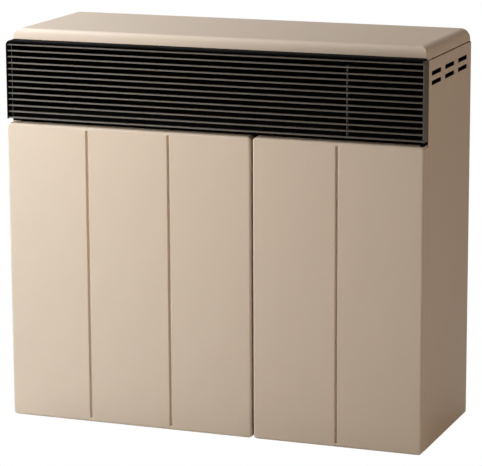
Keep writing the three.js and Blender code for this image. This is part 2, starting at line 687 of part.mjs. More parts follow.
// The door: a fluted panel whose foot is notched over the lower hinge arm, with a plate above the
// notch that turns on the lower pin.
function controlDoor() {
  const left = SPLIT_X + PANEL_SPLIT / 2;
  const back = CASING_FRONT - DOOR_GAP;
  const panel = flutedPanel(left, HALF_WIDTH, back, fluteLines(LEFT_FLUTES + 1, LEFT_FLUTES + RIGHT_FLUTES));
  const notchTop = LOWER_ARM_FOOT + HINGE_ARM + SEAT_GAP;
  const notchLeft = HINGE_LEFT - SEAT_GAP;
  const notchFront = PIN_Y - HINGE_EYE - SEAT_GAP;
  const notch = block(notchLeft, HALF_WIDTH + PAST, notchFront, back + PAST, -PAST, notchTop);
  const plateRight = HALF_WIDTH - SHEET + BOND_DEPTH;
  const plateFront = FACADE_FRONT + SHEET - BOND_DEPTH;
  const plateBack = back - SHEET;
  const plateLeft = notchLeft - SIDE_FLANGE;
  const webFoot = SHEET - BOND_DEPTH;
  const plate = block(plateLeft, plateRight, plateFront, plateBack, notchTop, notchTop + SHEET);
  const web = block(notchLeft - SHEET, notchLeft, plateFront, plateBack, webFoot, notchTop + BOND_DEPTH);
  const holeRadius = PIN_RADIUS + RUNNING_GAP;
  const holeLength = PIN_REACH + SHEET + PAST;
  const upperFoot = PANEL_HEIGHT - PIN_REACH - SHEET;
  const lowerHole = rod('z', holeRadius, holeLength, PIN_X, PIN_Y, notchTop - PAST, HOLE_SIDES);
  const upperHole = rod('z', holeRadius, holeLength, PIN_X, PIN_Y, upperFoot, HOLE_SIDES);
  return cut(join(cut(panel, notch), plate, web), lowerHole, upperHole);
}

// A hinge bracket: a leaf behind the casing's front flange and an arm that reaches forward to the
// pin. The leaf stands up from the arm.
function hingeBracket(armFoot) {
  const armTop = armFoot + HINGE_ARM;
  const arm = block(HINGE_LEFT, HINGE_RIGHT, PIN_Y, HINGE_LEAF_BACK, armFoot, armTop);
  const eye = rod('z', HINGE_EYE, HINGE_ARM, PIN_X, PIN_Y, armFoot);
  const leaf = block(HINGE_LEFT, HINGE_RIGHT, FRAME_FRONT, HINGE_LEAF_BACK, armFoot, armFoot + HINGE_LEAF);
  const radius = PIN_RADIUS + RUNNING_GAP;
  const hole = rod('z', radius, HINGE_ARM + 2 * PAST, PIN_X, PIN_Y, armFoot - PAST, HOLE_SIDES);
  return cut(join(arm, eye, leaf), hole);
}

// A hinge pin, riveted flush in its arm. Up is +1 or -1, the way it enters the door.
function hingePin(armFoot, up) {
  const start = up > 0 ? armFoot : armFoot - PIN_REACH;
  return rod('z', PIN_RADIUS, HINGE_ARM + PIN_REACH, PIN_X, PIN_Y, start, HOLE_SIDES);
}

// The catch sits on the cross bar's face, and the strike plate inside the door's face meets it.
function magneticCatch() {
  const top = PANEL_HEIGHT - SHEET - CATCH_DROP;
  const front = STRIKE_BACK + SEAT_GAP;
  const back = FRAME_FRONT - SEAT_GAP;
  const right = CATCH_LEFT + CATCH_WIDTH;
  const body = block(CATCH_LEFT, right, front + POLE_PROUD, back, top - CATCH_HEIGHT, top);
  const poles = [1 / 3, 2 / 3].map((share) => {
    const z = top - share * CATCH_HEIGHT;
    const reach = BOND_DEPTH + POLE_PROUD;
    const half = POLE_THICKNESS / 2;
    return block(CATCH_LEFT + POLE_MARGIN, right - POLE_MARGIN, front, front + reach, z - half, z + half);
  });
  return join(body, ...poles);
}

function strikePlate() {
  const middle = PANEL_HEIGHT - SHEET - CATCH_DROP - CATCH_HEIGHT / 2;
  const half = CATCH_HEIGHT / 2;
  const right = CATCH_LEFT + CATCH_WIDTH;
  const shape = roundedShape(CATCH_LEFT, right, middle - half, middle + half, STRIKE_CORNER);
  return alongY(shape, STRIKE_BACK, STRIKE_BACK - STRIKE_THICKNESS);
}

// ---------------------------------------------------------------- grille

// The hood: a tray with rounded upper corners, its face cut out to a narrow frame and its foot
// left open, so that it hangs as an arch over the bars.
function grilleHood() {
  const back = CASING_FRONT - SEAT_GAP;
  const height = HOOD_HEIGHT + 2 * HOOD_CORNER;
  const tray = pressedTray(WIDTH, height, back - FACADE_FRONT, HOOD_CORNER, HOOD_FOLD, SHEET);
  const middle = HOOD_TOP - height / 2;
  const place = (geometry) => solidOf(geometry.rotateX(Math.PI / 2).translate(0, back, middle));
  const side = HALF_WIDTH - HOOD_BORDER;
  const foot = HOOD_FOOT - 4 * HOOD_CORNER;
  const window = roundedShape(-side, side, foot, HOOD_TOP - HOOD_BORDER, HOOD_CORNER - HOOD_FOLD / 2);
  const below = block(-WIDTH, WIDTH, FACADE_FRONT - PAST, back + PAST, foot, HOOD_FOOT);
  const opening = alongY(window, FACADE_FRONT + SHEET + HOOD_FOLD, FACADE_FRONT - PAST);
  return cut(place(tray.outside), place(tray.inside), opening, below);
}

// A grille bar: a blade with a rounded bead along its front edge.
function grilleBar() {
  const half = BAR_THICKNESS / 2;
  const bead = BAR_NOSE / 2;
  const start = Math.asin(half / bead);
  const shape = new THREE.Shape();
  shape.moveTo(BAR_BACK, -half);
  shape.lineTo(BAR_BACK, half);
  shape.absarc(BAR_FRONT + bead, 0, bead, start, 2 * Math.PI - start);
  shape.closePath();
  const end = INNER_HALF - 2 * SEAT_GAP;
  return alongX(shape, -end, end);
}

function barHeight(index) {
  return HOOD_TOP - BAR_TOP_DROP - index * BAR_PITCH;
}

// The stay behind the bars, toothed along its front so that a tooth reaches between each pair.
function grilleStay() {
  const top = barHeight(STAY_FIRST_BAR) + BAR_NOSE;
  const foot = barHeight(BAR_COUNT - 1) - BAR_THICKNESS;
  const front = BAR_BACK - STAY_TOOTH;
  const half = STAY_WIDTH / 2;
  const strip = block(STAY_X - half, STAY_X + half, front, BAR_BACK + STAY_DEPTH, foot, top);
  const left = STAY_X - STAY_NOTCH_REACH;
  const right = STAY_X + STAY_NOTCH_REACH;
  const reach = BAR_THICKNESS / 2 + SEAT_GAP;
  const notches = [];
  for (let index = STAY_FIRST_BAR; index < BAR_COUNT; index += 1) {
    const z = barHeight(index);
    notches.push(block(left, right, front - PAST, BAR_BACK + SEAT_GAP, z - reach, z + reach));
  }
  return cut(strip, ...notches);
}

// ---------------------------------------------------------------- heat exchanger and flue

// A welded box with upright half-round ribs pressed in its front, a seam flange round its middle,
// an open mouth in its foot for the burner, and two round openings in its back.
function heatExchanger() {
  const half = EXCHANGER_WIDTH / 2;
  const left = EXCHANGER_X - half;
  const right = EXCHANGER_X + half;
  const place = (geometry) => {
    const turned = geometry.rotateX(Math.PI / 2);
    return solidOf(turned.translate(EXCHANGER_X, -EXCHANGER_BACK, EXCHANGER_FOOT + EXCHANGER_HEIGHT / 2));
  };
  const size = [EXCHANGER_WIDTH, EXCHANGER_HEIGHT, EXCHANGER_DEPTH, EXCHANGER_CORNER, EXCHANGER_CORNER / 2];
  let shell = place(pressedForm(...size));
  let hollow = place(pressedHollow(...size, EXCHANGER_SHEET));
  const ribFoot = EXCHANGER_FOOT + RIB_MARGIN + SIGHT_RADIUS;
  const ribTop = EXCHANGER_TOP - RIB_MARGIN;
  const ribAxis = EXCHANGER_FRONT_Y + RIB_RADIUS - RIB_DEPTH;
  for (let i = 0; i < RIB_COUNT; i += 1) {
    const x = left + ((i + 0.5) * EXCHANGER_WIDTH) / RIB_COUNT;
    const rib = rod('z', RIB_RADIUS, ribTop - ribFoot, x, ribAxis, ribFoot, RIB_SIDES);
    const bore = RIB_RADIUS - EXCHANGER_SHEET;
    const innerLength = ribTop - ribFoot - 2 * EXCHANGER_SHEET;
    const inner = rod('z', bore, innerLength, x, ribAxis, ribFoot + EXCHANGER_SHEET, RIB_SIDES);
    shell = join(shell, rib);
    hollow = join(hollow, inner);
  }
  const halfSeam = SEAM_THICKNESS / 2;
  const seam = block(left - EXCHANGER_RIM, right + EXCHANGER_RIM, EXCHANGER_MID_Y - halfSeam,
    EXCHANGER_MID_Y + halfSeam, EXCHANGER_FOOT + EXCHANGER_RIM, EXCHANGER_TOP + EXCHANGER_RIM);
  const wallInset = EXCHANGER_SHEET / 2;
  const backWall = block(left + wallInset, right - wallInset, -EXCHANGER_BACK - EXCHANGER_SHEET,
    -EXCHANGER_BACK, EXCHANGER_FOOT + wallInset, EXCHANGER_TOP - wallInset);
  const lugs = [];
  for (const x of [left + LUG_WIDTH, right - 2 * LUG_WIDTH]) {
    for (const z of [EXCHANGER_FOOT + LUG_WIDTH, EXCHANGER_TOP - LUG_WIDTH]) {
      lugs.push(block(x, x + LUG_WIDTH, -EXCHANGER_BACK - BOND_DEPTH, BACK_FACE, z, z + LUG_HEIGHT));
    }
  }
  const mouth = burnerMouth(0, EXCHANGER_FOOT - PAST, EXCHANGER_FOOT + EXCHANGER_RIM);
  const flueHole = rod('y', FLUE_RADIUS + SEAT_GAP, EXCHANGER_SHEET + 2 * PAST, EXCHANGER_X,
    -EXCHANGER_BACK - EXCHANGER_SHEET - PAST, FLUE_Z, DUCT_SIDES);
  const sightHole = rod('y', SIGHT_RADIUS - SIGHT_SEAT, 4 * EXCHANGER_SHEET, EXCHANGER_X + SIGHT_X,
    EXCHANGER_FRONT_Y - EXCHANGER_SHEET, EXCHANGER_FOOT + SIGHT_RISE);
  const box = join(cut(shell, hollow), cut(seam, hollow), backWall, ...lugs);
  return cut(box, mouth, flueHole, sightHole);
}

// Air passes from the duct into the heat exchanger through a ring of holes round the flue pipe.
function airHoles() {
  const circle = (FLUE_RADIUS + DUCT_RADIUS - DUCT_WALL) / 2;
  const holes = [];
  for (let i = 0; i < AIR_HOLES; i += 1) {
    const angle = ((i + 0.5) / AIR_HOLES) * Math.PI * 2;
    const x = EXCHANGER_X + circle * Math.cos(angle);
    const z = FLUE_Z + circle * Math.sin(angle);
    const start = -EXCHANGER_BACK - EXCHANGER_SHEET - PAST;
    holes.push(rod('y', AIR_HOLE_RADIUS, EXCHANGER_SHEET + 2 * PAST, x, start, z, HOLE_SIDES));
  }
  return holes;
}

function fluePipe() {
  const inner = EXCHANGER_BACK + EXCHANGER_SHEET;
  return pipeRing('y', FLUE_RADIUS, FLUE_WALL, inner, EXCHANGER_X, -inner, FLUE_Z, DUCT_SIDES);
}

function ductSeal() {
  const start = -EXCHANGER_BACK + SEAT_GAP;
  return pipeRing('y', DUCT_RADIUS, SEAL_WIDTH, SEAL_THICKNESS, EXCHANGER_X, start, FLUE_Z, DUCT_SIDES);
}

function airDuct() {
  const length = EXCHANGER_BACK - SEAL_THICKNESS - 2 * SEAT_GAP;
  return pipeRing('y', DUCT_RADIUS, DUCT_WALL, length, EXCHANGER_X, -length, FLUE_Z, DUCT_SIDES);
}

// The deflector: a sheet that stands against the back plate and curves forward under the top
// cover, with a cheek at each end, so that it turns the warm air out through the grille.
function heatDeflector() {
  const back = BACK_FACE;
  const top = SIDE_TOP - DEFLECTOR_DROP;
  const bend = DEFLECTOR_RADIUS;
  const front = CASING_FRONT + DEFLECTOR_FRONT;
  const cheek = new THREE.Shape();
  cheek.moveTo(back - SHEET + BOND_DEPTH, DEFLECTOR_FOOT + SHEET);
  cheek.lineTo(back - SHEET + BOND_DEPTH, top - bend);
  cheek.absarc(back - bend, top - bend, bend - SHEET + BOND_DEPTH, 0, Math.PI / 2, false);
  cheek.lineTo(front + SHEET, top - SHEET + BOND_DEPTH);
  cheek.lineTo(front + SHEET, DEFLECTOR_FOOT + SHEET);
  cheek.closePath();
  const sheet = new THREE.Shape();
  sheet.moveTo(back, DEFLECTOR_FOOT);
  sheet.lineTo(back, top - bend);
  sheet.absarc(back - bend, top - bend, bend, 0, Math.PI / 2, false);
  sheet.lineTo(front, top);
  sheet.lineTo(front, top - SHEET);
  sheet.absarc(back - bend, top - bend, bend - SHEET, Math.PI / 2, 0, true);
  sheet.lineTo(back - SHEET, DEFLECTOR_FOOT);
  sheet.closePath();
  const side = INNER_HALF - DEFLECTOR_MARGIN;
  const inner = side - SHEET;
  const segments = 2 * ARC_SEGMENTS;
  return join(
    alongX(sheet, -side, side, segments),
    alongX(cheek, -inner, SHEET - inner, segments),
    alongX(cheek, inner - SHEET, inner, segments),
  );
}

// ---------------------------------------------------------------- burner

// The burner's way through the foot of the heat exchanger, larger by a clearance.
function burnerMouth(grow, foot, top) {
  const halfWidth = BURNER_MOUTH_WIDTH / 2 + grow;
  const halfDepth = BURNER_MOUTH_DEPTH / 2 + grow;
  return block(EXCHANGER_X - halfWidth, EXCHANGER_X + halfWidth, EXCHANGER_MID_Y - halfDepth,
    EXCHANGER_MID_Y + halfDepth, foot, top);
}

// The outline that the burner plate and its gasket share.
function burnerFlange(foot, top) {
  const halfWidth = BURNER_PLATE_WIDTH / 2;
  const halfDepth = BURNER_PLATE_DEPTH / 2;
  const shape = roundedShape(EXCHANGER_X - halfWidth, EXCHANGER_X + halfWidth, EXCHANGER_MID_Y - halfDepth,
    EXCHANGER_MID_Y + halfDepth, EXCHANGER_CORNER / 2);
  return alongZ(shape, foot, top);
}

function burnerGasket() {
  const foot = PLATE_TOP + SEAT_GAP;
  return cut(burnerFlange(foot, GASKET_TOP), burnerMouth(GASKET_CLEAR, foot - PAST, GASKET_TOP + PAST));
}

// Each upright stem that passes through the burner plate: its place, radius and piece.
const PILOT_STEMS = {
  pilot: { x: PILOT_X, radius: PILOT_RADIUS },
  thermocouple: { x: PILOT_X + PILOT_PITCH, radius: PROBE_RADIUS },
  electrode: { x: PILOT_X - PILOT_PITCH, radius: PROBE_RADIUS },
};

function burnerPlate() {
  const through = BURNER_PLATE + 2 * PAST;
  const holes = Object.values(PILOT_STEMS).map((stem) =>
    rod('z', stem.radius + SEAT_GAP, through, stem.x, PILOT_Y, PLATE_FOOT - PAST, HOLE_SIDES));
  const stemHole = rod('z', STEM_RADIUS + SEAT_GAP, through, EXCHANGER_X, EXCHANGER_MID_Y, PLATE_FOOT - PAST);
  return cut(burnerFlange(PLATE_FOOT, PLATE_TOP), stemHole, ...holes);
}

// The burner: a tube with a row of ports along its top, on a hollow mixer stem that passes through
// the burner plate.
function burnerTube() {
  const left = EXCHANGER_X - BURNER_LENGTH / 2;
  const y = EXCHANGER_MID_Y;
  const inner = BURNER_RADIUS - BURNER_WALL;
  const boreLength = BURNER_LENGTH - 2 * BURNER_WALL;
  const outer = rod('x', BURNER_RADIUS, BURNER_LENGTH, left, y, BURNER_Z, HOLE_SIDES);
  const bore = rod('x', inner, boreLength, left + BURNER_WALL, y, BURNER_Z, HOLE_SIDES);
  const stemFoot = PLATE_FOOT - STEM_DROP;
  const stemLength = BURNER_Z - stemFoot;
  const stem = rod('z', STEM_RADIUS, stemLength, EXCHANGER_X, y, stemFoot);
  const throat = rod('z', STEM_RADIUS - STEM_WALL, stemLength + PAST, EXCHANGER_X, y, stemFoot - PAST);
  const ports = [];
  for (let i = 0; i < PORT_COUNT; i += 1) {
    const x = left + ((i + 0.5) * BURNER_LENGTH) / PORT_COUNT;
    ports.push(block(x - PORT_WIDTH / 2, x + PORT_WIDTH / 2, y - PORT_LENGTH / 2, y + PORT_LENGTH / 2,
      BURNER_Z + BURNER_RADIUS / 2, BURNER_Z + BURNER_RADIUS + PAST));
  }
  return cut(join(outer, stem), bore, throat, ...ports);
}

// A stem of the pilot group: it stands through the burner plate beside the burner, with a collar
// that rests on the plate and a head of its own radius.
function pilotStem(stem, height, headRadius, headHeight) {
  const foot = PLATE_FOOT - PROBE_TAIL;
  const length = height + PROBE_TAIL;
  const headFoot = foot + length - BOND_DEPTH;
  return join(
    rod('z', stem.radius, length, stem.x, PILOT_Y, foot, HOLE_SIDES),
    rod('z', stem.radius + COLLAR_RIM, COLLAR_HEIGHT, stem.x, PILOT_Y, PLATE_TOP + SEAT_GAP, HOLE_SIDES),
    rod('z', headRadius, headHeight, stem.x, PILOT_Y, headFoot, HOLE_SIDES, headRadius * HEAD_TAPER),
  );
}

// ---------------------------------------------------------------- sight glass

function sightGlass() {
  const depth = SIGHT_THICKNESS - SHEET;
  return rod('y', SIGHT_RADIUS, depth, SIGHT[0], SIGHT[1] - depth, SIGHT[2]);
}

function sightFrame() {
  const depth = SIGHT_THICKNESS + SHEET;
  const seat = SIGHT_THICKNESS - SHEET + SEAT_GAP;
  return cut(
    rod('y', SIGHT_RADIUS + SIGHT_RIM, depth, SIGHT[0], SIGHT[1] - depth, SIGHT[2]),
    rod('y', SIGHT_RADIUS + SEAT_GAP, seat + PAST, SIGHT[0], SIGHT[1] - seat, SIGHT[2]),
    rod('y', SIGHT_RADIUS - SIGHT_SEAT, depth + 2 * PAST, SIGHT[0], SIGHT[1] - depth - PAST, SIGHT[2]),
  );
}

// ---------------------------------------------------------------- gas controls

// The panel that the controls look out of, with flanges turned back along its top and left side.
function controlPanel() {
  const back = CONTROL_FACE + CONTROL_FLANGE;
  const outside = block(CONTROL_LEFT, CONTROL_RIGHT, CONTROL_FACE, back, CONTROL_FOOT, CONTROL_TOP);
  const inside = block(CONTROL_LEFT + SHEET, CONTROL_RIGHT + PAST, CONTROL_FACE + SHEET, back + PAST,
    CONTROL_FOOT - PAST, CONTROL_TOP - SHEET);
  const start = CONTROL_FACE - PAST;
  const through = SHEET + 2 * PAST;
  const neckHole = rod('y', VALVE_NECK + SEAT_GAP, through, VALVE_X, start, VALVE_Z);
  const igniterHole = rod('y', IGNITER_NECK + SEAT_GAP, through, BUTTON_X, start, VALVE_Z);
  return cut(outside, inside, neckHole, igniterHole);
}

// The gas valve: a cast body with a neck through the control panel, a boss for each pipe on its
// sides and the round housing of its flame failure magnet on top.
function gasValve() {
  const foot = VALVE_FOOT;
  const top = foot + VALVE_HEIGHT;
  const outline = roundedShape(VALVE_LEFT, VALVE_RIGHT, foot, top, VALVE_CORNER);
  const body = alongY(outline, VALVE_BACK, VALVE_FRONT);
  const neckLength = VALVE_FRONT - NECK_FRONT + BOND_DEPTH;
  const bossLength = BOSS_LENGTH + BOND_DEPTH;
  const outletRadius = FEED_RADIUS + BOSS_RIM;
  const inletRadius = INLET_RADIUS + BOSS_RIM;
  const magnetX = VALVE_LEFT + MAGNET_INSET;
  const magnetLength = MAGNET_HEIGHT + BOND_DEPTH;
  const boreBack = SPINDLE_END + PLUNGER_LENGTH + KNOB_TRAVEL + PAST;
  const boreLength = boreBack - NECK_FRONT + PAST;
  return cut(
    join(
      body,
      rod('y', VALVE_NECK, neckLength, VALVE_X, NECK_FRONT, VALVE_Z),
      rod('x', outletRadius, bossLength, VALVE_LEFT - BOSS_LENGTH, VALVE_MID_Y, VALVE_Z, HEX_SIDES),
      rod('x', inletRadius, bossLength, VALVE_RIGHT - BOND_DEPTH, VALVE_MID_Y, VALVE_Z, HEX_SIDES),
      rod('z', MAGNET_RADIUS, magnetLength, magnetX, VALVE_MID_Y, top - BOND_DEPTH),
    ),
    rod('y', SPINDLE_RADIUS + RUNNING_GAP, boreLength, VALVE_X, NECK_FRONT - PAST, VALVE_Z),
  );
}

// The bracket under the valve: an angle whose upright leaf lies behind the control panel.
function valveBracket() {
  const shelfTop = VALVE_FOOT - SEAT_GAP;
  const front = CONTROL_FACE + SHEET + SEAT_GAP;
  const left = VALVE_LEFT + BRACKET_INSET;
  const right = VALVE_RIGHT - BRACKET_INSET;
  return join(
    block(left, right, front, VALVE_BACK - BRACKET_INSET, shelfTop - BRACKET_SHEET, shelfTop),
    block(left, right, front, front + BRACKET_SHEET, shelfTop - BRACKET_LEAF, shelfTop),
  );
}

function valvePlunger() {
  return rod('y', PLUNGER_RADIUS, PLUNGER_LENGTH, VALVE_X, SPINDLE_END + RUNNING_GAP, VALVE_Z, HOLE_SIDES);
}

function valveSpindle() {
  const start = KNOB_FRONT + KNOB_FACE + SEAT_GAP;
  return rod('y', SPINDLE_RADIUS, SPINDLE_END - start, VALVE_X, start, VALVE_Z, HOLE_SIDES);
}

// The waist of the knob: a circle with finger scallops.
function knobWaist() {
  const waist = new THREE.Shape();
  const points = KNOB_SCALLOPS * 4;
  for (let i = 0; i < points; i += 1) {
    const angle = (i / points) * Math.PI * 2;
    const radius = KNOB_RADIUS * WAIST_SHARE + SCALLOP_DEPTH * Math.cos(angle * KNOB_SCALLOPS);
    const x = VALVE_X + radius * Math.sin(angle);
    const z = VALVE_Z + radius * Math.cos(angle);
    if (i === 0) waist.moveTo(x, z);
    else waist.lineTo(x, z);
  }
  return waist;
}

// The control knob: a tapered skirt, a scalloped waist and a raised pointer on its face.
function controlKnob() {
  const skirtFront = KNOB_BACK - KNOB_SKIRT;
  const skirtRadius = KNOB_RADIUS * SKIRT_SHARE;
  const skirt = rod('y', skirtRadius, KNOB_SKIRT, VALVE_X, skirtFront, VALVE_Z, KNOB_SIDES, KNOB_RADIUS);
  const gripFront = KNOB_FRONT + POINTER_DEPTH / 2;
  const grip = alongY(knobWaist(), skirtFront + BOND_DEPTH, gripFront);
  const half = POINTER_WIDTH / 2;
  const tip = VALVE_Z + KNOB_RADIUS * POINTER_SHARE;
  const pointer = block(VALVE_X - half, VALVE_X + half, KNOB_FRONT, KNOB_FRONT + POINTER_DEPTH, VALVE_Z, tip);
  const boreRadius = SPINDLE_RADIUS + SEAT_GAP;
  const bore = rod('y', boreRadius, KNOB_DEPTH, VALVE_X, KNOB_FRONT + KNOB_FACE, VALVE_Z, HOLE_SIDES);
  return cut(join(skirt, grip, pointer), bore);
}

// The igniter: a piezo body behind the control panel and a bezel in front of it, bored for the
// button.
function igniterBody() {
  const bodyFront = CONTROL_FACE + SHEET + SEAT_GAP;
  const neckLength = bodyFront + BOND_DEPTH - BEZEL_FRONT;
  const bezelFace = IGNITER_RADIUS + BEZEL_STEP;
  const bezelRim = bezelFace + BEZEL_STEP;
  const boreLength = 2 * BUTTON_DEPTH + BUTTON_TRAVEL;
  return cut(
    join(
      rod('y', IGNITER_RADIUS, IGNITER_LENGTH, BUTTON_X, bodyFront, VALVE_Z),
      rod('y', IGNITER_NECK, neckLength, BUTTON_X, BEZEL_FRONT, VALVE_Z),
      rod('y', bezelFace, BEZEL_THICKNESS, BUTTON_X, BEZEL_FRONT, VALVE_Z, ROUND_SIDES, bezelRim),
    ),
    rod('y', BUTTON_RADIUS + RUNNING_GAP, boreLength, BUTTON_X, BEZEL_FRONT - PAST, VALVE_Z),
  );
}

function igniterButton() {
  return rod('y', BUTTON_RADIUS, BUTTON_LENGTH, BUTTON_X, BEZEL_FRONT - BUTTON_DEPTH, VALVE_Z);
}

// ---------------------------------------------------------------- pipes and thermostat

// The gas inlet runs from the valve's right side and turns down to the union nut.
function inletPipe() {
  const y = VALVE_MID_Y;
  const near = BEND_SHARE * INLET_BEND;
  const points = [
    [VALVE_RIGHT + BOSS_LENGTH + SEAT_GAP, y, VALVE_Z],
    [INLET_X - INLET_BEND, y, VALVE_Z],
    [INLET_X - near, y, VALVE_Z - near],
    [INLET_X, y, VALVE_Z - INLET_BEND],
    [INLET_X, y, INLET_MOUTH + INLET_STAND],
  ];
  return tubeThrough(points, INLET_RADIUS, INLET_SIDES, INLET_STEPS);
}

function unionNut() {
  const y = VALVE_MID_Y;
  const bore = INLET_RADIUS + 2 * SEAT_GAP;
  return cut(
    rod('z', NUT_ACROSS / Math.sqrt(3), NUT_HEIGHT, INLET_X, y, INLET_MOUTH, HEX_SIDES),
    rod('z', bore, NUT_HEIGHT + 2 * PAST, INLET_X, y, INLET_MOUTH - PAST),
  );
}

// The feed pipe runs from the valve's left side to the middle of the burner and turns up to it.
function feedPipe() {
  const start = VALVE_LEFT - BOSS_LENGTH - SEAT_GAP;
  const end = PLATE_FOOT - STEM_DROP - SEAT_GAP;
  const y = EXCHANGER_MID_Y;
  const level = VALVE_Z + FEED_RADIUS;
  const near = BEND_SHARE * FEED_BEND;
  const points = [
    [start, VALVE_MID_Y, VALVE_Z],
    [start - FEED_BEND, VALVE_MID_Y, VALVE_Z],
    [EXCHANGER_X + 2 * FEED_BEND, y, level],
    [EXCHANGER_X + FEED_BEND, y, level],
    [EXCHANGER_X + near, y, level + near],
    [EXCHANGER_X, y, level + FEED_BEND],
    [EXCHANGER_X, y, end],
  ];
  return tubeThrough(points, FEED_RADIUS, PIPE_SIDES, FEED_STEPS);
}

// A thin pipe or lead that runs from a point on a side of the valve or igniter up to the tail of a
// stem under the burner plate.
function stemLead(stem, radius, start, level) {
  const near = LEAD_REACH / 4;
  const points = [
    start,
    [start[0] - LEAD_REACH, start[1], start[2]],
    [stem.x + LEAD_REACH, PILOT_Y, level],
    [stem.x + near, PILOT_Y, level + near],
    [stem.x, PILOT_Y, level + LEAD_REACH],
    [stem.x, PILOT_Y, STEM_TAIL],
  ];
  return tubeThrough(points, radius, LEAD_SIDES, LEAD_STEPS);
}

function thermostatBulb() {
  const left = BULB_X - BULB_LENGTH / 2;
  return rod('x', BULB_RADIUS, BULB_LENGTH, left, BULB_Y, BULB_Z, HOLE_SIDES);
}

// The clip that hangs the bulb from the bottom rail's upper flange.
function bulbClip() {
  const left = BULB_X - CLIP_WIDTH / 2;
  const right = left + CLIP_WIDTH;
  const outer = BULB_RADIUS + SEAT_GAP + CLIP_WALL;
  const railTop = CONTROL_FOOT + RAIL_HEIGHT + SEAT_GAP;
  const hookTop = railTop + CLIP_WALL;
  const half = CLIP_WALL / 2;
  const band = pipeRing('x', outer, CLIP_WALL, CLIP_WIDTH, left, BULB_Y, BULB_Z);
  const strap = block(left, right, BULB_Y - half, BULB_Y + half, BULB_Z + outer - BOND_DEPTH, hookTop);
  const hook = block(left, right, FRAME_FRONT + SHEET, BULB_Y + half, railTop, hookTop);
  return join(band, strap, hook);
}

// The capillary tube runs from the bulb's right end, behind the rail, to the valve's left side.
function capillary() {
  const start = BULB_X + BULB_LENGTH / 2 + SEAT_GAP;
  const end = VALVE_LEFT - SEAT_GAP;
  const z = VALVE_FOOT + CAPILLARY_RISE;
  const y = VALVE_FRONT + CAPILLARY_INSET;
  const points = [
    [start, BULB_Y, BULB_Z],
    [start + CAPILLARY_RISE, BULB_Y, BULB_Z],
    [start + 2 * CAPILLARY_INSET, y - BULB_RADIUS, BULB_Z + BULB_RADIUS],
    [end - CAPILLARY_RUN, y, z - CAPILLARY_RISE],
    [end - CAPILLARY_INSET, y, z],
    [end, y, z],
  ];
  return tubeThrough(points, CAPILLARY_RADIUS, LEAD_SIDES, LEAD_STEPS);
}

// The ignition lead leaves the back of the igniter, passes over the valve and comes to the
// electrode's tail from the front.
function ignitionLead() {
  const start = CONTROL_FACE + SHEET + 2 * SEAT_GAP + IGNITER_LENGTH;
  const over = VALVE_Z + VALVE_HEIGHT / 2 + MAGNET_HEIGHT + 2 * LEAD_RADIUS;
  const level = over - LEAD_REACH;
  const x = PILOT_STEMS.electrode.x;
  const front = start - LEAD_RADIUS;
  const near = LEAD_REACH / 4;
  const points = [
    [BUTTON_X, start, VALVE_Z],
    [BUTTON_X, start + 2 * LEAD_RADIUS, VALVE_Z],
    [BUTTON_X - near, start + 3 * LEAD_RADIUS, VALVE_Z + LEAD_REACH],
    [BUTTON_X - 2 * LEAD_REACH, front, over],
    [VALVE_LEFT, front, over],
    [x + LEAD_REACH, PILOT_Y - LEAD_REACH, level],
    [x, PILOT_Y - near, level],
    [x, PILOT_Y, over - LEAD_REACH / 2],
    [x, PILOT_Y, STEM_TAIL],
  ];
  return tubeThrough(points, LEAD_RADIUS, LEAD_SIDES, IGNITION_STEPS);
}

// ---------------------------------------------------------------- the heater

piece('back_plate', backPlate(), 'blackEnamel');
piece('side_panel_left', sidePanel(-1), 'beigePaint');
piece('side_panel_right', cut(
  sidePanel(1),
  hingeNotch(UPPER_ARM_FOOT, UPPER_ARM_FOOT + HINGE_ARM),
  hingeNotch(CASING_FOOT - PAST, CASING_FOOT + SHEET),
), 'beigePaint');
piece('top_cover', topCover(), 'beigePaint');
piece('front_crossbar', frameChannel(CROSSBAR_FOOT, CROSSBAR_FOOT + CROSSBAR_HEIGHT), 'blackEnamel');
piece('bottom_rail', frameChannel(CONTROL_FOOT, CONTROL_FOOT + RAIL_HEIGHT), 'zincSteel');

piece('grille_hood', grilleHood(), 'blackEnamel');
const bar = grilleBar();
for (let index = 0; index < BAR_COUNT; index += 1) {
  const mesh = piece(`grille_bar_${String(index + 1).padStart(2, '0')}`, bar, 'barEnamel');
  mesh.position.z = barHeight(index);
}
piece('grille_stay', grilleStay(), 'barEnamel');

piece('front_panel', frontPanel(), 'beigePaint');
piece('control_door', controlDoor(), 'beigePaint');
piece('hinge_bracket_upper', hingeBracket(UPPER_ARM_FOOT), 'blackEnamel');
piece('hinge_bracket_lower', hingeBracket(LOWER_ARM_FOOT), 'zincSteel');
piece('hinge_pin_upper', hingePin(UPPER_ARM_FOOT, -1), 'plainSteel');
piece('hinge_pin_lower', hingePin(LOWER_ARM_FOOT, 1), 'plainSteel');
piece('magnetic_catch', magneticCatch(), 'magnet');
piece('strike_plate', strikePlate(), 'zincSteel');

piece('heat_exchanger', cut(heatExchanger(), ...airHoles()), 'enamelIron');
piece('flue_pipe', fluePipe(), 'aluminised');
piece('duct_seal', ductSeal(), 'fibre');
piece('air_duct', airDuct(), 'zincSteel');
piece('heat_deflector', heatDeflector(), 'blackEnamel');
piece('burner_gasket', burnerGasket(), 'fibre');
piece('burner_plate', burnerPlate(), 'zincSteel');
piece('burner_tube', burnerTube(), 'aluminised');
const { pilot, thermocouple, electrode } = PILOT_STEMS;
const pilotHead = PILOT_RADIUS + COLLAR_RIM;
piece('pilot_burner', pilotStem(pilot, PILOT_HEIGHT - PILOT_HEAD, pilotHead, PILOT_HEAD), 'brass');
piece('thermocouple', pilotStem(thermocouple, PILOT_HEIGHT, PROBE_RADIUS * HEAD_TAPER, PROBE_HEAD), 'copper');
piece('ignition_electrode', pilotStem(electrode, PILOT_HEIGHT, PROBE_RADIUS / 2, PILOT_HEAD), 'ceramic');
